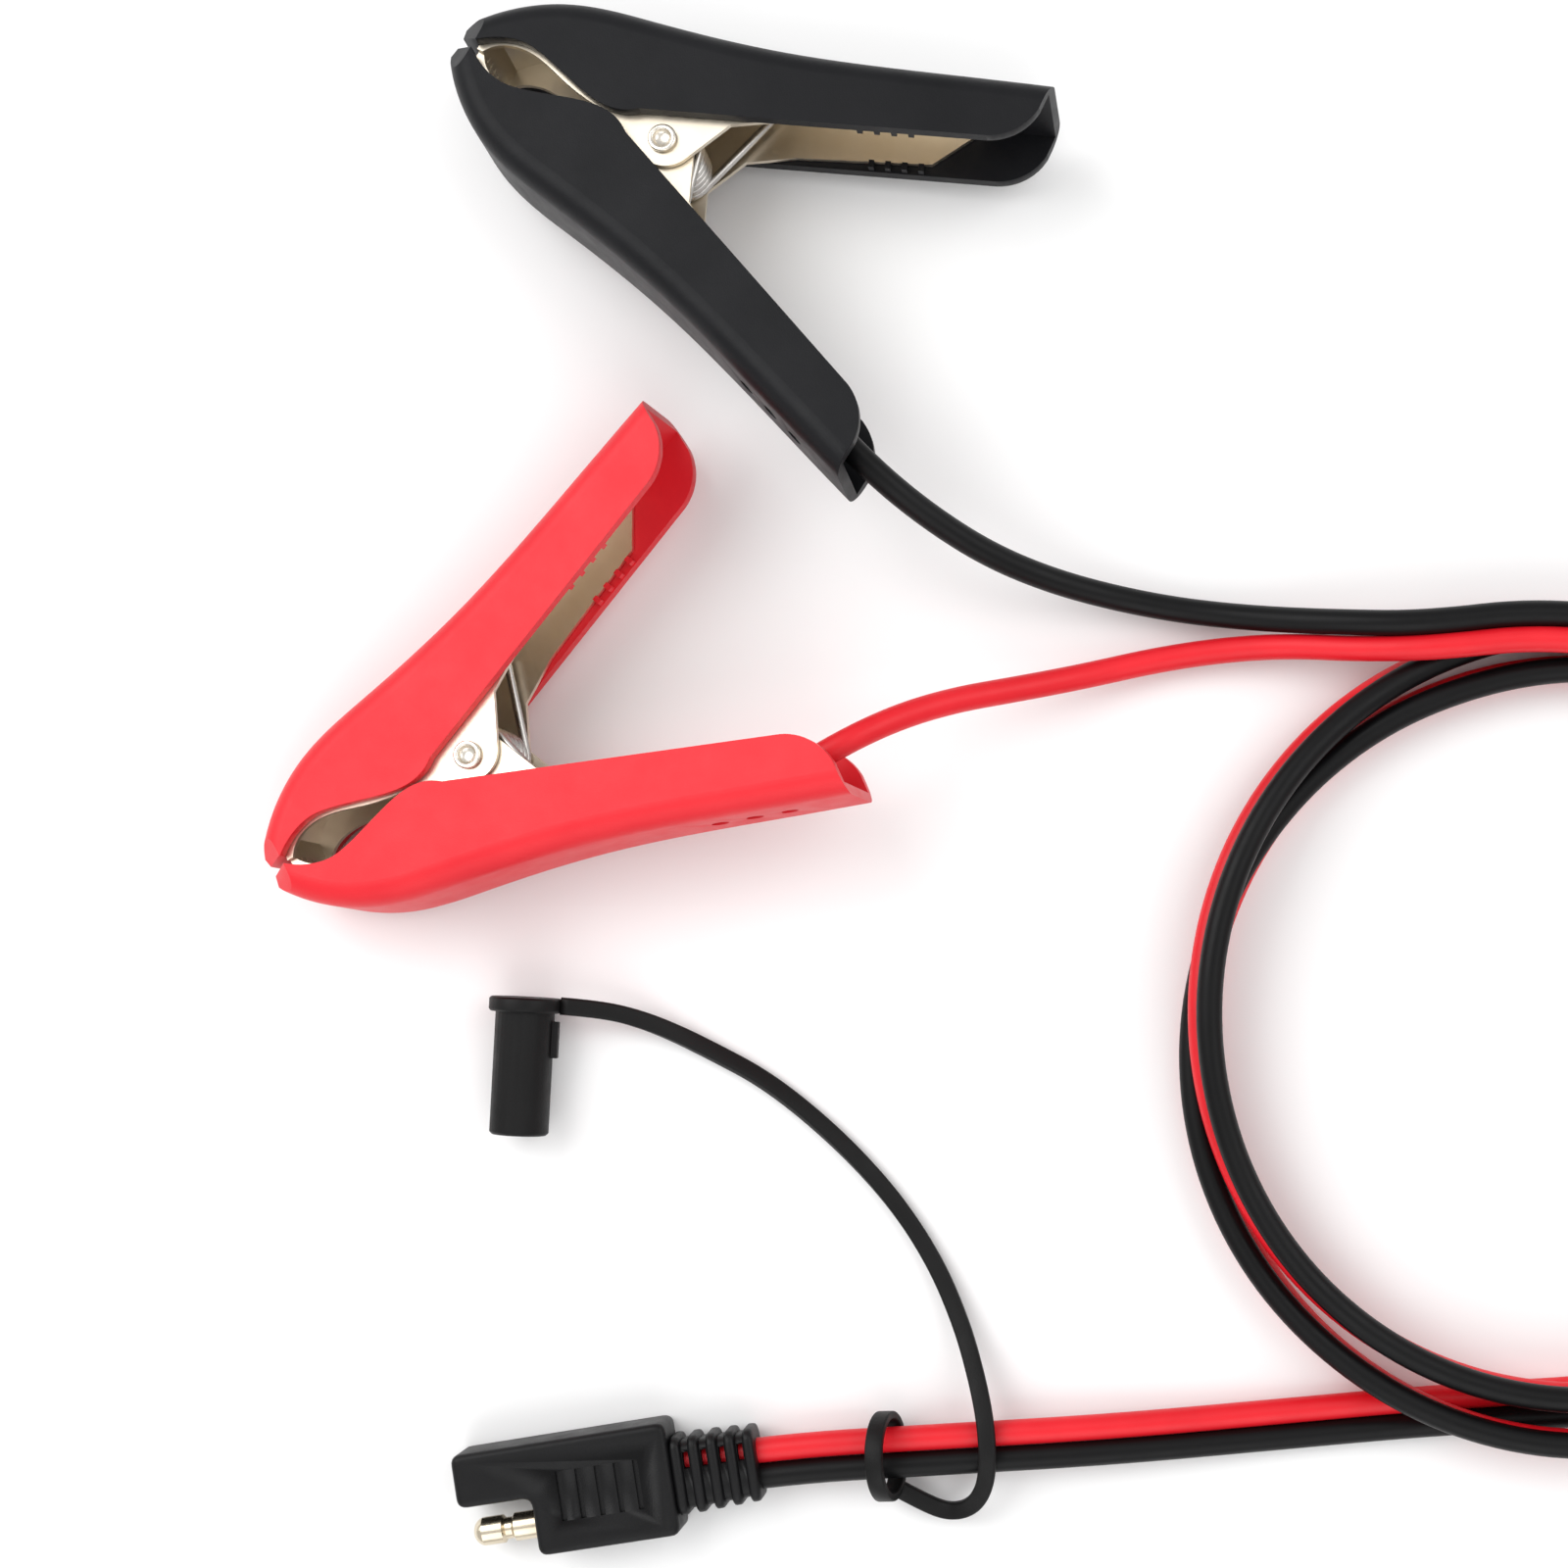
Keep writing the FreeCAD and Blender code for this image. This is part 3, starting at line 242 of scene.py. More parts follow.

# %% [markdown]
# ## Sweeping a section along a line
# The wires, the springs and the cap's strap are each one section carried along one
# line. A mesh does this better than a curve's bevel here: the section can be an oblong
# with soft corners, and it can roll as it goes.

# %% Sweep a section
def swept(name, line, section, level=False, roll=None):
    """A closed mesh: the section, (across, up) pairs in millimetres, carried along a line."""
    mesh = bpy.data.meshes.new(name)
    vertices, faces = [], []
    across = Vector((0, 0, 1)).cross(line[1] - line[0]).normalized()
    for number, point in enumerate(line):
        ahead = line[min(number + 1, len(line) - 1)] - line[max(number - 1, 0)]
        ahead.normalize()
        if level:
            across = Vector((0, 0, 1)).cross(ahead)
        across = (across - ahead * across.dot(ahead)).normalized()
        up = ahead.cross(across)
        angle = math.radians(roll(number / (len(line) - 1))) if roll else 0.0
        side = across * math.cos(angle) + up * math.sin(angle)
        top = up * math.cos(angle) - across * math.sin(angle)
        vertices += [point + side * (x * MM) + top * (y * MM) for x, y in section]
    count = len(section)
    for ring in range(len(line) - 1):
        for k in range(count):
            a, b = ring * count + k, ring * count + (k + 1) % count
            faces.append((a, b, b + count, a + count))
    faces.append(tuple(reversed(range(count))))
    faces.append(tuple(range(len(vertices) - count, len(vertices))))
    mesh.from_pydata([tuple(v) for v in vertices], [], faces)
    mesh.shade_smooth()
    piece = bpy.data.objects.new(name, mesh)
    scene.collection.objects.link(piece)
    return piece


def round_section(radius, sides):
    """A circle of points, anticlockwise."""
    angles = [2 * math.pi * k / sides for k in range(sides)]
    return [(radius * math.cos(angle), radius * math.sin(angle)) for angle in angles]


def oblong_section(width, height, corner, steps=4):
    """An oblong with round corners, anticlockwise."""
    section = []
    for sign_x, sign_y, start in ((1, -1, -90), (1, 1, 0), (-1, 1, 90), (-1, -1, 180)):
        for step in range(steps + 1):
            angle = math.radians(start + 90 * step / steps)
            section.append((sign_x * (width / 2 - corner) + corner * math.cos(angle),
                            sign_y * (height / 2 - corner) + corner * math.sin(angle)))
    return section


print("an oblong section has", len(oblong_section(2.0, 1.0, 0.2)), "points")

# %% [markdown]
# ## The two wires
# A wire is one thing of one thickness from clip to plug. It could be drawn in three
# parts, clip end, coil and plug end, but the joins would show, so it is one tube on one
# line. The two tubes take the place of the working model's five plain pieces. Each wire
# was cut a little under 1.2 m long, and two and a half turns take most of that up.

# %% Draw both wires
WIRE_SIDES = 20
wires = {}
for colour in COLOURS:
    line = line_of(colour + "_wire", route(colour))
    wire = swept(colour + "_wire", line, round_section(WIRE / 2, WIRE_SIDES))
    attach(wire, "lead")
    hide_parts(colour + "_wire_clip_end", colour + "_wire_plug_end", "cable_coil")
    wires[colour] = wire

# %% [markdown]
# ## Finishes
# Each finish is a small set of nodes around one shader: a colour that drifts a little
# from place to place, a roughness that is never quite even, and a fine bump for the
# grain of the mould, the lines of the sheet or the lay of the strands. Painted images
# could carry all that, but noise fixed to the piece has no seams and any fineness.

# %% A bench for making finishes
def finish(name, rough, metal=0.0, shine=0.5):
    """A new material, its node tree and its shader."""
    material = bpy.data.materials.new(name)
    material.use_nodes = True
    tree = material.node_tree
    shader = tree.nodes["Principled BSDF"]
    shader.inputs["Roughness"].default_value = rough
    shader.inputs["Metallic"].default_value = metal
    shader.inputs["Specular IOR Level"].default_value = shine
    return material, tree, shader


def object_space(tree, stretch=(1, 1, 1)):
    """Coordinates fixed to the piece, stretched along its own axes."""
    place = tree.nodes.new("ShaderNodeTexCoord")
    mapping = tree.nodes.new("ShaderNodeMapping")
    mapping.inputs["Scale"].default_value = stretch
    tree.links.new(place.outputs["Object"], mapping.inputs["Vector"])
    return mapping.outputs["Vector"]


def noise(tree, where, scale, detail, rough=0.5):
    """Cloudy values from 0 to 1. A larger scale makes smaller clouds."""
    node = tree.nodes.new("ShaderNodeTexNoise")
    node.inputs["Scale"].default_value = scale
    node.inputs["Detail"].default_value = detail
    node.inputs["Roughness"].default_value = rough
    tree.links.new(where, node.inputs["Vector"])
    return node.outputs["Fac"]


def between(tree, factor, low, high, start=0.3, end=0.7):
    """A ramp from one colour, or one grey value, to another."""
    ramp = tree.nodes.new("ShaderNodeValToRGB")
    ramp.color_ramp.elements[0].position = start
    ramp.color_ramp.elements[1].position = end
    for element, value in zip(ramp.color_ramp.elements, (low, high)):
        element.color = (*value, 1.0) if isinstance(value, tuple) else (value, value, value, 1.0)
    tree.links.new(factor, ramp.inputs["Fac"])
    return ramp.outputs["Color"]


def bump(tree, shader, heights, strength, distance=0.0001):
    """Raise the surface by one height after another."""
    before = None
    for height, share in heights:
        node = tree.nodes.new("ShaderNodeBump")
        node.inputs["Strength"].default_value = strength * share
        node.inputs["Distance"].default_value = distance
        tree.links.new(height, node.inputs["Height"])
        if before is not None:
            tree.links.new(before, node.inputs["Normal"])
        before = node.outputs["Normal"]
    tree.links.new(before, shader.inputs["Normal"])


print("bench ready, with", len(bpy.data.materials), "materials so far")

# %% [markdown]
# Vinyl is what the covers, the plug and the wires are moulded from. It has a faint
# orange-peel grain and a soft sheen, and handling leaves it a little shinier in
# patches. Each piece could have a finish made from nothing, but then they would not
# look like one family. One recipe serves them all, with its own colour, gloss and grain.

# %% Vinyl and rubber
DRIFT, HANDLING, RIPPLE = 90, 240, 700          # noise scales, from broad to fine
RIPPLE_SHARE = 0.5              # of the grain's height


def vinyl(name, dark, light, rough, spread, grain_scale, grain, shine):
    """Moulded vinyl: two close colours, a base roughness and how far it wanders."""
    material, tree, shader = finish(name, rough, shine=shine)
    where = object_space(tree)
    broad = noise(tree, where, DRIFT, 3.0)
    tree.links.new(between(tree, broad, dark, light), shader.inputs["Base Color"])
    handled = noise(tree, where, HANDLING, 5.0, 0.6)
    tree.links.new(between(tree, handled, rough - spread, rough + spread),
                   shader.inputs["Roughness"])
    bump(tree, shader, [(noise(tree, where, grain_scale, 2.0), 1.0),
                        (noise(tree, where, RIPPLE, 4.0), RIPPLE_SHARE)], grain)
    return material


black_cover_vinyl = vinyl("black_cover_vinyl", (0.0060, 0.0062, 0.0074), (0.0088, 0.0090, 0.0104),
                          0.42, 0.05, 5200, 0.24, shine=0.15)
red_cover_vinyl = vinyl("red_cover_vinyl", (0.68, 0.014, 0.024), (0.73, 0.020, 0.030),
                        0.42, 0.05, 5200, 0.22, shine=0.28)
black_insulation = vinyl("black_insulation", (0.0020, 0.0020, 0.0023), (0.0034, 0.0034, 0.0038),
                         0.42, 0.05, 3800, 0.12, shine=0.18)
red_insulation = vinyl("red_insulation", (0.66, 0.006, 0.014), (0.74, 0.010, 0.020),
                       0.42, 0.05, 3800, 0.12, shine=0.35)
plug_vinyl = vinyl("plug_vinyl", (0.0030, 0.0030, 0.0034), (0.0050, 0.0050, 0.0056),
                   0.42, 0.07, 4200, 0.34, shine=0.22)
cap_rubber = vinyl("cap_rubber", (0.0030, 0.0029, 0.0030), (0.0052, 0.0050, 0.0051),
                   0.48, 0.08, 3600, 0.30, shine=0.20)
print("vinyl and rubber ready")


# %% [markdown]
# The jaws are pressed from steel sheet and plated with nickel, which is warmer than
# chrome and slightly cloudy. Rolling left faint lines along the sheet. A mirror finish
# would be simpler, but on a pale table it shows only white, so the metal is a little
# rough. The rivets, the springs, the turned contacts and the copper strands are the
# same idea with other colours and lines.

# %% Plated and bare metal
CLOUD = 160                     # noise scale of the tint
SMOOTHER, ROUGHER = 0.05, 0.06  # how far the lines shift the roughness
LINE_DEPTH = 0.00002
EVEN = (1, 1, 1)


def plated(name, dark, light, rough, stretch, line_scale, lines):
    """Metal with a drifting tint and fine lines drawn out along one direction."""
    material, tree, shader = finish(name, rough, metal=1.0)
    where = object_space(tree)
    tree.links.new(between(tree, noise(tree, where, CLOUD, 4.0), dark, light),
                   shader.inputs["Base Color"])
    drawn = noise(tree, object_space(tree, stretch), line_scale, 6.0, 0.6)
    tree.links.new(between(tree, drawn, rough - SMOOTHER, rough + ROUGHER),
                   shader.inputs["Roughness"])
    bump(tree, shader, [(drawn, 1.0)], lines, distance=LINE_DEPTH)
    return material


jaw_nickel = plated("jaw_nickel", (0.80, 0.71, 0.57), (0.86, 0.78, 0.65),
                    0.36, (1, 1, 0.06), 1500, 0.03)
rivet_nickel = plated("rivet_nickel", (0.74, 0.69, 0.61), (0.82, 0.77, 0.69),
                      0.28, EVEN, 1800, 0.03)
spring_steel = plated("spring_steel", (0.42, 0.40, 0.38), (0.62, 0.60, 0.57),
                      0.30, EVEN, 2400, 0.14)
contact_brass = plated("contact_brass", (0.58, 0.49, 0.36), (0.76, 0.68, 0.54),
                       0.24, (0.05, 1, 1), 2200, 0.12)
bare_copper = plated("bare_copper", (0.60, 0.26, 0.13), (0.82, 0.42, 0.24),
                     0.30, EVEN, 2600, 0.5)
print("metal ready")

# %% [markdown]
# The pressed jaws with their teeth, the turned contacts and the bared strands already
# have the right shape in the working model. They could be made again here, but a second
# version could only differ from the first, so they are kept and get a finish.

# %% Give the kept pieces their finishes
FINISHES = {"plug_pin": contact_brass, "plug_socket": contact_brass,
            "black_plug_strands": bare_copper, "red_plug_strands": bare_copper}
for colour in COLOURS:
    for half in ("upper", "lower"):
        FINISHES["%s_%s_jaw" % (colour, half)] = jaw_nickel
    FINISHES[colour + "_clip_strands"] = bare_copper
for name, material in FINISHES.items():
    nodes[name].data.materials.clear()
    nodes[name].data.materials.append(material)
for colour, insulation in (("black", black_insulation), ("red", red_insulation)):
    wires[colour].data.materials.append(insulation)
print("finished", len(FINISHES), "kept pieces and", len(wires), "wires")


# %% [markdown]
# ## Moulded pieces
# The covers, the cap and its ring come out of a mould, which never has a knife edge.
# The large rounds, such as the corners of the covers, are in the working model. Small
# ones could be modelled edge by edge. Here the working model's form is copied, its flat
# facets are joined into whole faces, and a bevel asks for a round on every edge that
# turns enough. A bevel never lets two rounds run into each other, so the shortest edges
# hold it back from the third of a millimetre that is asked for: it takes about a tenth
# off the corners of the cap and the ring, and a twentieth at most off the covers, with
# their thin ribs. The prints below say what it took off each piece.

# %% Copy the moulded pieces
MERGE = 0.002                   # points closer than this are one point
FLAT = 1                        # faces within this many degrees are one face
SHARP = 28                      # edges that turn by more degrees than this get a round


def softened(node, body, material, width):
    """A copy of one piece of the working model. Width is the round asked for, in mm."""
    mesh = nodes[node].data.copy()
    bm = bmesh.new()
    bm.from_mesh(mesh)
    bmesh.ops.remove_doubles(bm, verts=bm.verts, dist=MERGE * MM)
    bmesh.ops.dissolve_limit(bm, angle_limit=math.radians(FLAT), verts=bm.verts,
                             edges=bm.edges)
    bm.to_mesh(mesh)
    bm.free()
    mesh.materials.clear()
    mesh.materials.append(material)
    piece = bpy.data.objects.new(node + "_moulding", mesh)
    scene.collection.objects.link(piece)
    rounding = piece.modifiers.new("rounded_edges", "BEVEL")
    rounding.width = width * MM
    rounding.segments = 3
    rounding.limit_method = "ANGLE"
    rounding.angle_limit = math.radians(SHARP)
    rounding.harden_normals = True
    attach(piece, body)
    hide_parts(node)
    return piece


def taken_off(piece):
    """The most that the bevel took off any corner of a piece, in millimetres."""
    bpy.context.view_layer.update()
    corners = [vertex.co for vertex in piece.data.vertices]
    return max((piece.closest_point_on_mesh(co)[1] - co).length for co in corners) / MM


CAP_ROUND, COVER_ROUND = 0.3, 0.35
mouldings = [softened("dust_cap", "tethered_cap", cap_rubber, CAP_ROUND),
             softened("cap_ring", "tethered_cap", cap_rubber, CAP_ROUND)]
for colour, vinyl_used in (("black", black_cover_vinyl), ("red", red_cover_vinyl)):
    for half, body in (("upper", colour + "_upper_half"), ("lower", "lead")):
        mouldings.append(softened("%s_%s_cover" % (colour, half), body, vinyl_used,
                                  COVER_ROUND))
for moulding in mouldings:
    print("%s: %.3f mm off its corners" % (moulding.name, taken_off(moulding)))

# %% [markdown]
# ## The plug
# The plug is one thick moulding: a slab with a half-width arm beside the bare pin, all
# its edges well rounded, and five grooves for the thumb. A bevel could round it, but the
# fine edges round the socket would hold that back, as they do above. So it is built in
# layers. The same outline is stacked up with a small inset near the bottom and the top,
# which makes the rounds, and the grooves and the socket's mouth are carved afterwards.

# %% Outlines
SHORT_SIDE = 0.45               # the most of a side that one corner may use up


def rounded_outline(corners, radius, steps=5):
    """A closed outline, anticlockwise, with each corner cut back and turned into a curve."""
    points = []
    for number, corner in enumerate(corners):
        before = (Vector(corners[number - 1]) - Vector(corner))
        after = (Vector(corners[(number + 1) % len(corners)]) - Vector(corner))
        back = min(radius, before.length * SHORT_SIDE, after.length * SHORT_SIDE)
        first = Vector(corner) + before.normalized() * back
        last = Vector(corner) + after.normalized() * back
        for step in range(steps + 1):
            u = step / steps
            onward = Vector(corner).lerp(last, u)
            points.append(first.lerp(Vector(corner), u).lerp(onward, u))
    return points


def inset_outline(points, inset):
    """The same outline moved inwards."""
    moved = []
    for number, point in enumerate(points):
        a = (point - points[number - 1]).normalized()
        b = (points[(number + 1) % len(points)] - point).normalized()
        inward = Vector((-a.y - b.y, a.x + b.x))
        moved.append(point + inward / max(inward.length_squared / 2, 0.5) * inset)
    return moved


square = [(0, 0), (1, 0), (1, 1), (0, 1)]
print("a rounded square has", len(rounded_outline(square, 0.1)), "points")

# %% Layers and carving
CREASE = 40                     # edges that turn by more degrees than this stay sharp


def layered(name, layers, stand):
    """A closed mesh from rings of as many points each, given in millimetres."""
    count = len(layers[0])
    vertices = [tuple(stand @ (Vector(point) * MM)) for layer in layers for point in layer]
    faces = [tuple(reversed(range(count))), tuple(range(len(vertices) - count, len(vertices)))]
    for ring in range(len(layers) - 1):
        for k in range(count):
            a, b = ring * count + k, ring * count + (k + 1) % count
            faces.append((a, b, b + count, a + count))
    mesh = bpy.data.meshes.new(name)
    mesh.from_pydata(vertices, [], faces)
    mesh.shade_smooth()
    mesh.set_sharp_from_angle(angle=math.radians(CREASE))
    piece = bpy.data.objects.new(name, mesh)
    scene.collection.objects.link(piece)
    return piece


def block(low, high):
    """The rings of a plain box, for carving with."""
    sides = [(low[0], low[1]), (high[0], low[1]), (high[0], high[1]), (low[0], high[1])]
    return [[(x, y, z) for x, y in sides] for z in (low[2], high[2])]


def carve(piece, tools, stand):
    """Cut every tool, each a list of rings, out of a piece for good."""
    for rings in tools:
        tool = layered("carving_tool", rings, stand)
        cut = piece.modifiers.new("cut", "BOOLEAN")
        cut.operation, cut.solver, cut.object = "DIFFERENCE", "EXACT", tool
        depsgraph = bpy.context.evaluated_depsgraph_get()
        mesh = bpy.data.meshes.new_from_object(piece.evaluated_get(depsgraph))
        piece.modifiers.clear()
        piece.data = mesh
        bpy.data.objects.remove(tool)


# %% [markdown]
# The real plug is one shot of vinyl round two contacts. Its outline here is the slab
# seen from above. The grooves could be dents in a bump map, but those vanish when seen
# from low down, so they are cut into both broad faces. The mouth is a round bore along
# the arm, where the sunk contact is reached.

# %% Mould the plug
PLUG_PLACE = Vector((-21.2, -105.0, 4.4))
PLUG_TURN = 8.6                 # the plug's heading on the table, in degrees
PLUG_STAND = (Matrix.Translation(PLUG_PLACE * MM)
              @ Matrix.Rotation(math.radians(PLUG_TURN), 4, "Z"))
PLUG_HALF = 4.4
PLUG_ROUND, ROUND_STEPS = 0.9, 4
OUTLINE_ROUND = 1.5
PLUG_CORNERS = [(-10.9, 0.25), (0.0, 0.25), (0.0, -8.4), (21.0, -8.4), (21.0, 8.4), (-10.9, 8.15)]
GROOVES, FIRST_GROOVE, GROOVE_PITCH = 5, 4.2, 2.85
GROOVE_WIDTH, GROOVE_REACH = 0.8, 3.7
GROOVE_FLOOR, PAST_PLUG = 3.95, 6.0
CONTACT_LANE = 4.2              # each contact's distance from the plug's middle line
MOUTH_RADIUS, MOUTH_SIDES = 2.41, 24
MOUTH_RUN = (-12.0, -0.8)       # from outside the arm to the bore's floor

outline = rounded_outline(PLUG_CORNERS, OUTLINE_ROUND)
levels = []
for step in range(ROUND_STEPS + 1):
    angle = math.radians(90 * step / ROUND_STEPS)
    levels.append((PLUG_ROUND * (1 - math.sin(angle)),
                   -PLUG_HALF + PLUG_ROUND * (1 - math.cos(angle))))
levels += [(inset, -height) for inset, height in reversed(levels)]
plug = layered("plug_moulding", [[(p.x, p.y, height) for p in inset_outline(outline, inset)]
                                 for inset, height in levels], PLUG_STAND)
grooves = []
for number in range(GROOVES):
    start = FIRST_GROOVE + GROOVE_PITCH * number
    for low, high in ((GROOVE_FLOOR, PAST_PLUG), (-PAST_PLUG, -GROOVE_FLOOR)):
        grooves.append(block((start, -GROOVE_REACH, low),
                             (start + GROOVE_WIDTH, GROOVE_REACH, high)))
mouth = [[(along, CONTACT_LANE + across, up)
          for across, up in round_section(MOUTH_RADIUS, MOUTH_SIDES)] for along in MOUTH_RUN]
carve(plug, grooves + [mouth], PLUG_STAND)
plug.data.materials.clear()
plug.data.materials.append(plug_vinyl)
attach(plug, "lead")
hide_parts("plug_housing")
print("plug:", len(plug.data.polygons), "faces")

# %% [markdown]
# ## The strain relief
# Behind the plug the same vinyl carries on as a ribbed sleeve, so that the wires bend
# gently and not at the plug's edge. Five rings could be pushed onto a plain tube, but a
# moulded sleeve has no joins, so it is one stack of rounded sections along the wires,
# swelling at each rib. Four small windows in the grooves let the red wire show.

# %% Mould the ribbed sleeve
RELIEF_START, RELIEF_LENGTH = 20.6, 12.9
RELIEF_HALF = (5.9, 3.9)        # half width and half height over the ribs
RELIEF_TAPER, RELIEF_CORNER = 0.5, 1.6
RIBS, RIB, GROOVE, GROOVE_DEPTH = 5, 1.7, 1.0, 0.75
FIRST_RIB = RELIEF_START + 0.4
WINDOW_LOW, WINDOW_HIGH, WINDOW_EDGE = (1.0, 0.4), (3.5, 6.0), 0.05
RIB_SHAPE = [(0.0, 1.0), (0.10, 0.45), (0.35, 0.08), (0.60, 0.0)]
stations = []
for number in range(RIBS):
    start = FIRST_RIB + number * (RIB + GROOVE)
    end = min(start + RIB, RELIEF_START + RELIEF_LENGTH)
    stations += [(start + ahead, depth * GROOVE_DEPTH) for ahead, depth in RIB_SHAPE]
    stations += [(end - ahead, depth * GROOVE_DEPTH) for ahead, depth in reversed(RIB_SHAPE)]
stations[0] = (RELIEF_START, stations[0][1])
rings = []
for along, depth in stations:
    taper = RELIEF_TAPER * (along - RELIEF_START) / RELIEF_LENGTH
    section = oblong_section(2 * (RELIEF_HALF[0] - taper - depth),
                             2 * (RELIEF_HALF[1] - depth), RELIEF_CORNER)
    rings.append([(along, across, up) for across, up in section])
relief = layered("strain_relief_moulding", rings, PLUG_STAND)
windows = []
for number in range(RIBS - 1):
    start = FIRST_RIB + RIB + number * (RIB + GROOVE)
    windows.append(block((start + WINDOW_EDGE, *WINDOW_LOW),
                         (start + GROOVE - WINDOW_EDGE, *WINDOW_HIGH)))
carve(relief, windows, PLUG_STAND)
relief.data.materials.clear()
relief.data.materials.append(plug_vinyl)
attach(relief, "lead")
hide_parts("strain_relief")
print("strain relief:", len(relief.data.polygons), "faces")

# %% [markdown]
# ## The torsion springs
# A clip is closed by a spring wound round its rivet, with one leg under each handle.
# The working model has a plain sleeve there. The real one is a single steel wire, so
# it is drawn as one: leg, nearly six turns, leg. It could ride on one half of the clip,
# but then the other handle would leave its leg behind, so it rides on neither and stays
# as wound when the clip opens. First comes each clip's own frame to build it in.

# %% Where each clip stands
CLIP_TURN = {"black": -27.1, "red": 29.1}       # heading on the table, in degrees
PITCH, ROLL = 6.0, 7.0                          # how far its wire props it up


def clip_frame(colour):
    """The clip's own frame: X towards the handles, Y to the upper half, Z along the rivet."""
    pivot = Vector(joints[colour + "_jaw_hinge"]["pos_m"])
    turn = (Matrix.Rotation(math.radians(CLIP_TURN[colour]), 4, "Z")
            @ Matrix.Rotation(math.radians(-PITCH), 4, "Y")
            @ Matrix.Rotation(math.radians(-ROLL), 4, "X"))
    return Matrix.Translation(pivot) @ turn


for colour in COLOURS:
    hinge = Vector(joints[colour + "_jaw_hinge"]["axis"])
    rivet = clip_frame(colour).to_3x3() @ Vector((0, 0, 1))
    print(colour, "rivet is %.3f degrees off its hinge" % math.degrees(rivet.angle(-hinge)))

# %% [markdown]
# The turns could be a stack of rings, but a ring has no way on to the next, so they are
# one helix down the rivet, and each leg is a straight run from the last turn to a point
# under its handle. The covers of a real clip hide where the legs end, so these ends are
# a guess.

# %% Wind the springs
SPRING_WIRE = 1.2
SPRING_RADIUS = 3.6             # middle of the wire
SPRING_MIDDLE = 1.3             # along the clip, from the rivet
SPRING_REACH = 3.95             # middle of the end turns, down and up the rivet
LEG_END = (9.0, 14.6)
LEG_LEAVES = -15.5              # where the upper leg leaves the coil, in degrees
SPRING_TURNS = 6
TURN_STEPS, LEG_STEPS = 28, 8
WIRE_FACETS = 12


def spring_line(colour):
    """Leg, turns and leg of one spring, as points in metres."""
    start, end = -LEG_LEAVES, LEG_LEAVES + 360 * SPRING_TURNS
    steps = TURN_STEPS * SPRING_TURNS
    points = [Vector((LEG_END[0], -LEG_END[1], SPRING_REACH))]
    corner = Vector((SPRING_MIDDLE + SPRING_RADIUS * math.cos(math.radians(start)),
                     SPRING_RADIUS * math.sin(math.radians(start)), SPRING_REACH))
    points += [points[0].lerp(corner, step / LEG_STEPS) for step in range(1, LEG_STEPS)]
    for step in range(steps + 1):
        share = step / steps
        angle = math.radians(start + (end - start) * share)
        points.append(Vector((SPRING_MIDDLE + SPRING_RADIUS * math.cos(angle),
                              SPRING_RADIUS * math.sin(angle),
                              SPRING_REACH * (1 - 2 * share))))
    tip = Vector((LEG_END[0], LEG_END[1], -SPRING_REACH))
    last = points[-1]
    points += [last.lerp(tip, step / LEG_STEPS) for step in range(1, LEG_STEPS + 1)]
    stand = clip_frame(colour)
    return [stand @ (point * MM) for point in points]


for colour in COLOURS:
    spring = swept(colour + "_torsion_spring", spring_line(colour),
                   round_section(SPRING_WIRE / 2, WIRE_FACETS))
    spring.data.materials.append(spring_steel)
    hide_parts(colour + "_spring")
    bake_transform(spring)
    print(colour, "spring has", len(spring.data.polygons), "faces")

# %% [markdown]
# ## The rivets
# Each rivet is a short tube. Its ends are rolled over the jaw's ears, which leaves a
# round lip with a dished middle. It could be a rod with two domes stuck on, but the
# dish is what catches the light, so one profile is spun about the axis, as on a lathe.

# %% Turn the rivets
RIVET_SIDES = 32
DISH = [(0.30, 0.75), (0.95, 0.70), (1.20, 0.40), (1.32, 0.08)]     # radius, and depth
ROLL_HEIGHT = 0.20              # of the lip, above the dish's rim
LIP_EDGE, UNDER_LIP = 0.35, 0.45
SHANK_RADIUS, LIP_RADIUS = 1.70, 2.05
LIP_SHORT = 0.25                # each lip's rim, short of the working model's rivet


def turned(name, profile, stand):
    """A closed turned piece: (radius, height) pairs in millimetres, spun about the stand's Z."""
    vertices, faces = [], []
    for radius, height in profile:
        for k in range(RIVET_SIDES):
            angle = 2 * math.pi * k / RIVET_SIDES
            spun = Vector((radius * math.cos(angle), radius * math.sin(angle), height))
            vertices.append(tuple(stand @ (spun * MM)))
    for ring in range(len(profile) - 1):
        for k in range(RIVET_SIDES):
            a, b = ring * RIVET_SIDES + k, ring * RIVET_SIDES + (k + 1) % RIVET_SIDES
            faces.append((a, b, b + RIVET_SIDES, a + RIVET_SIDES))
    faces.append(tuple(reversed(range(RIVET_SIDES))))
    faces.append(tuple(range(len(vertices) - RIVET_SIDES, len(vertices))))
    mesh = bpy.data.meshes.new(name)
    mesh.from_pydata(vertices, [], faces)
    mesh.shade_smooth()
    piece = bpy.data.objects.new(name, mesh)
    scene.collection.objects.link(piece)
    return piece


def rivet_profile(shank, lip, half):
    """From the floor of one dish, over its lip, down the shank and to the other dish."""
    bowl = [(radius, half - depth) for radius, depth in DISH]
    rim, rim_depth = DISH[-1]
    rolled = [(rim + (lip - rim) / 2 * (1 - math.cos(math.radians(a))),
               half - rim_depth + ROLL_HEIGHT * math.sin(math.radians(a)))
              for a in range(20, 181, 20)]
    top = bowl + rolled + [(lip, half - LIP_EDGE), (shank, half - UNDER_LIP)]
    return [(r, -h) for r, h in top] + [(r, h) for r, h in reversed(top)]


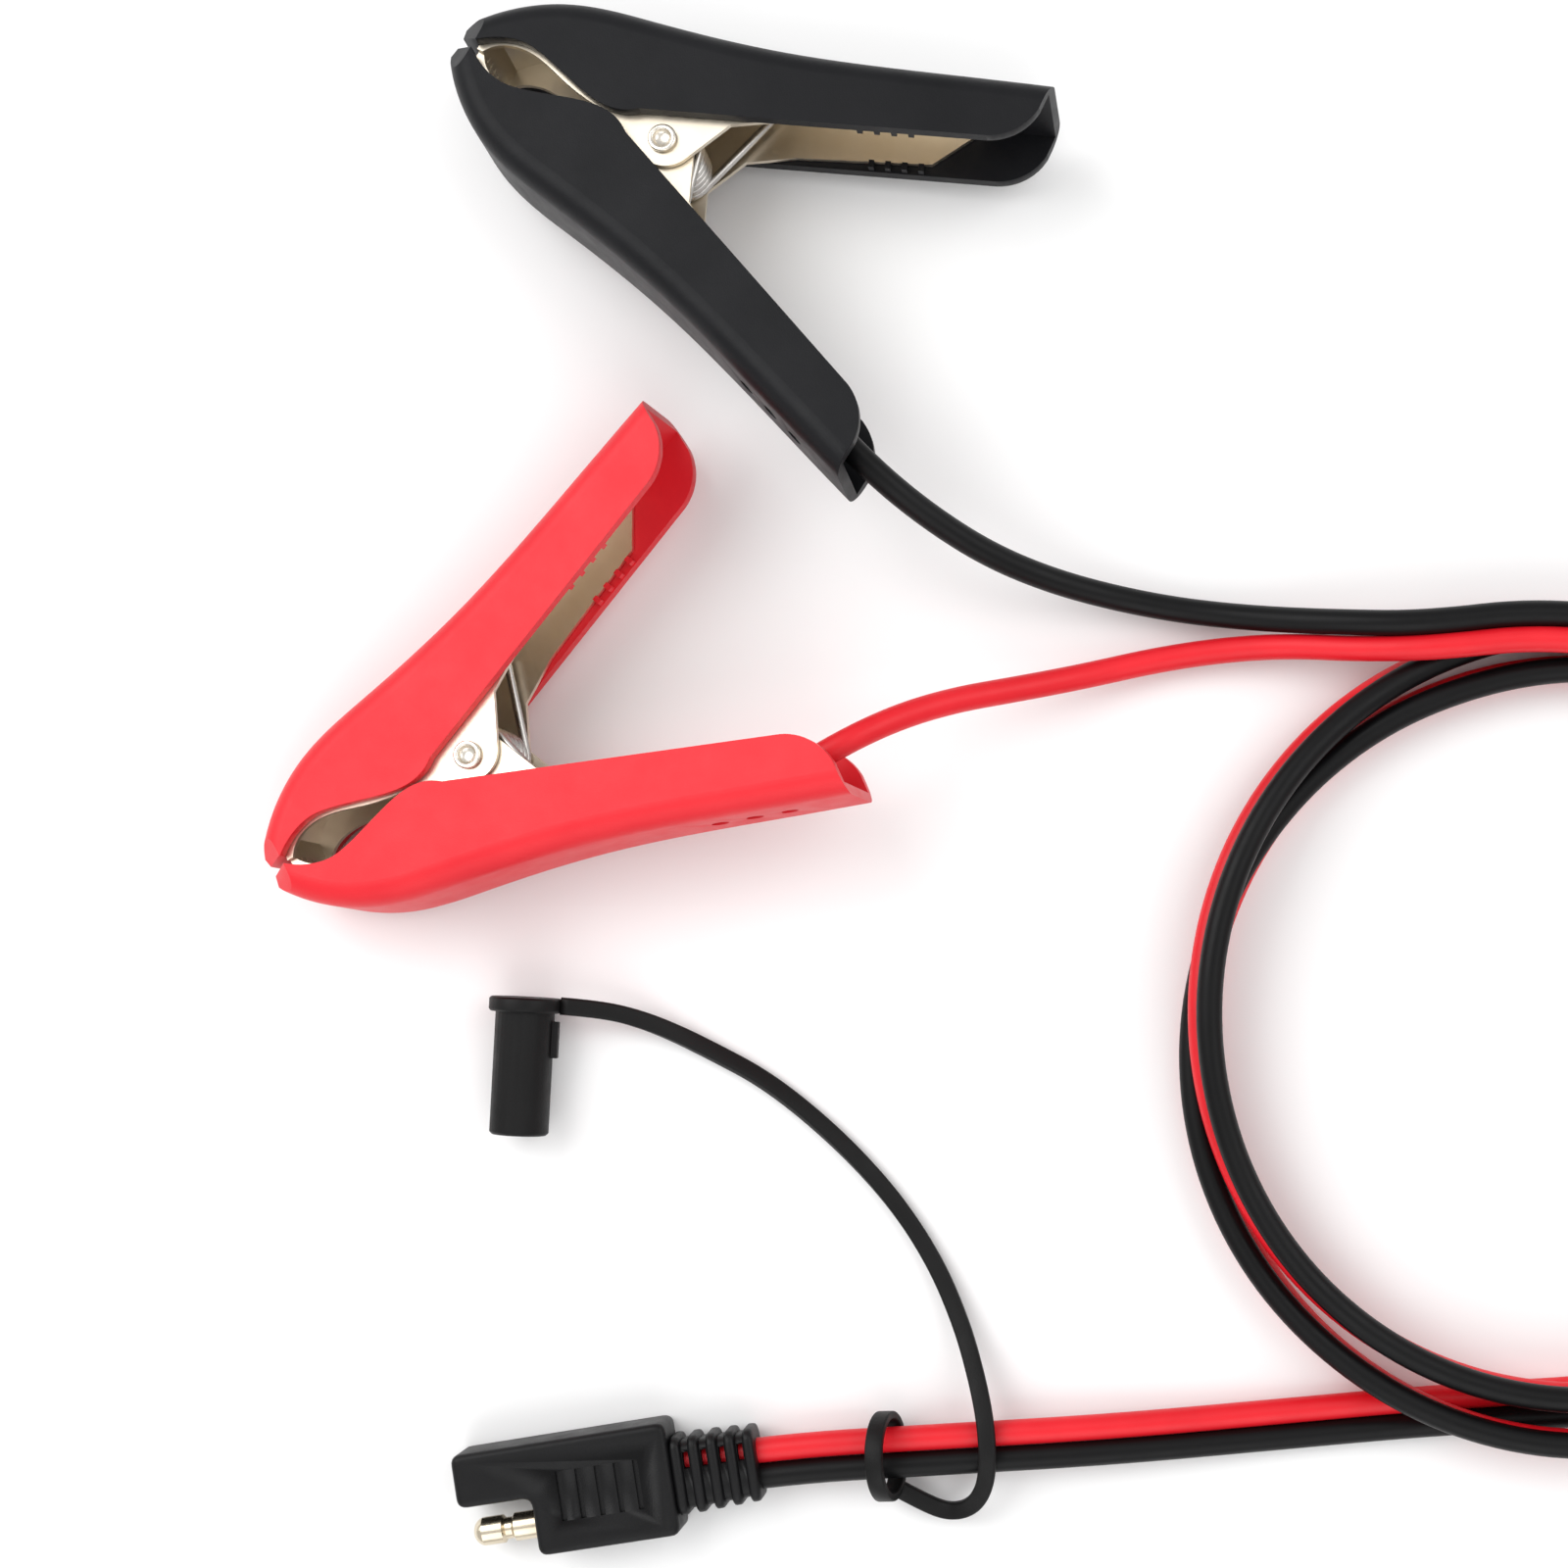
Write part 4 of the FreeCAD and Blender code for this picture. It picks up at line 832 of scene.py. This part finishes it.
for colour in COLOURS:
    low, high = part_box(colour + "_rivet")
    reach = (clip_frame(colour).to_3x3() @ Vector((0, 0, 1))).z
    half = (high[2] - low[2]) / 2 / reach / MM - LIP_SHORT
    profile = rivet_profile(SHANK_RADIUS, LIP_RADIUS, half)
    rivet = turned(colour + "_rolled_rivet", profile, clip_frame(colour))
    rivet.data.materials.append(rivet_nickel)
    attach(rivet, "lead")
    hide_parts(colour + "_rivet")
    print(colour, "rivet: %.1f mm over its lips" % (2 * half))

# %% [markdown]
# ## The strap of the dust cap
# The cap, its strap and its ring are one soft rubber moulding. The strap runs out from
# the cap's flange, lies on the table, arches over the pair of wires and comes back low
# to the ring. A ribbon with no thickness would be easier, but its edge shows wherever
# it tips over, so an oblong section is swept along the line and rolled on its way.

# %% Lay the strap
STRAP = (2.6, 1.7, 0.45)        # width, thickness and corner radius
STRAP_TIP = 34.0                # the most that it tips over, in degrees
STRAP_FLAT = 0.55               # the share of its length after which it lies flat
STRAP_ROUTE = [(-17.5, -32.42, 5.3), (-11.8, -32.9, 4.4), (-6.4, -34.3, 2.8), (-0.9, -36.6, 1.7),
               (5.0, -39.6, 1.3), (11.4, -43.0, 1.2), (17.9, -47.8, 1.2), (25.0, -54.2, 1.2),
               (32.0, -62.0, 1.2), (37.8, -70.9, 1.5), (41.8, -80.0, 2.8), (44.2, -87.6, 5.6),
               (45.6, -93.6, 8.0), (46.0, -99.2, 8.6), (45.4, -103.6, 7.0), (43.4, -106.8, 4.4),
               (39.9, -108.0, 2.2), (36.0, -106.6, 1.9), (31.19, -103.77, 2.64)]


def strap_roll(share):
    """The strap tips over on its first stretch and lies flat again after it."""
    return -STRAP_TIP * math.sin(math.pi * min(share / STRAP_FLAT, 1.0)) ** 2


strap_line = line_of("strap", STRAP_ROUTE)
strap = swept("cap_strap_band", strap_line, oblong_section(*STRAP), level=True, roll=strap_roll)
strap.data.materials.append(cap_rubber)
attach(strap, "tethered_cap")
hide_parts("cap_strap")
print("strap: %.1f mm" % (length_of(strap_line) / MM))

# %% [markdown]
# ## Table and light
# The lead lies on a pale matt table. A pure white one would glare round the black
# pieces, and a grey one would dull the red, so it is just short of white, with a tint
# that hardly changes from place to place.

# %% Table
TABLE_HALF = 2.5                # in metres
TABLE_GREYS = (0.86, 0.88)
table_mesh = bpy.data.meshes.new("table_top")
bm = bmesh.new()
bmesh.ops.create_grid(bm, x_segments=1, y_segments=1, size=TABLE_HALF)
bm.to_mesh(table_mesh)
bm.free()
table_top = bpy.data.objects.new("table_top", table_mesh)
scene.collection.objects.link(table_top)
table_paint, tree, shader = finish("table_paint", 0.7)
tree.links.new(between(tree, noise(tree, object_space(tree), 6, 2.0), *TABLE_GREYS),
               shader.inputs["Base Color"])
table_mesh.materials.append(table_paint)
print("table %.0f m wide" % (2 * TABLE_HALF))

# %% [markdown]
# One hard lamp would show the shapes with less work, but it would burn white spots into
# the plated jaws. Three large soft lights give the black pieces wide highlights and keep
# the shadows light and close, and an even, bright surround fills in the rest.

# %% Light
def soft_light(name, place, aim, size, power):
    """A large square light that faces a point on the table."""
    lamp = bpy.data.lights.new(name, "AREA")
    lamp.size = size
    lamp.energy = power
    light = bpy.data.objects.new(name, lamp)
    light.location = place
    light.rotation_euler = (Vector(aim) - Vector(place)).to_track_quat("-Z", "Y").to_euler()
    scene.collection.objects.link(light)


LIT_POINT = (0.07, -0.02, 0.0)
LAMPS = [("window_left", (-0.55, 0.35, 0.75), 0.8, 6.0),
         ("window_right", (0.75, 0.25, 0.8), 0.8, 3.5),
         ("low_fill", (0.05, -0.75, 0.7), 0.9, 3.5)]
SURROUND = 0.68                 # how bright the air around is
for name, place, size, power in LAMPS:
    soft_light(name, place, LIT_POINT, size, power)
world = bpy.data.worlds.new("studio_air")
world.use_nodes = True
air = world.node_tree.nodes["Background"]
air.inputs["Color"].default_value = (1.0, 1.0, 1.0, 1.0)
air.inputs["Strength"].default_value = SURROUND
scene.world = world
scene.view_settings.view_transform = "Standard"
print("lit by", len(LAMPS), "soft lights")

# %% [markdown]
# ## Close
# At the end the scene is brought up to date.

# %% Close
bpy.context.view_layer.update()
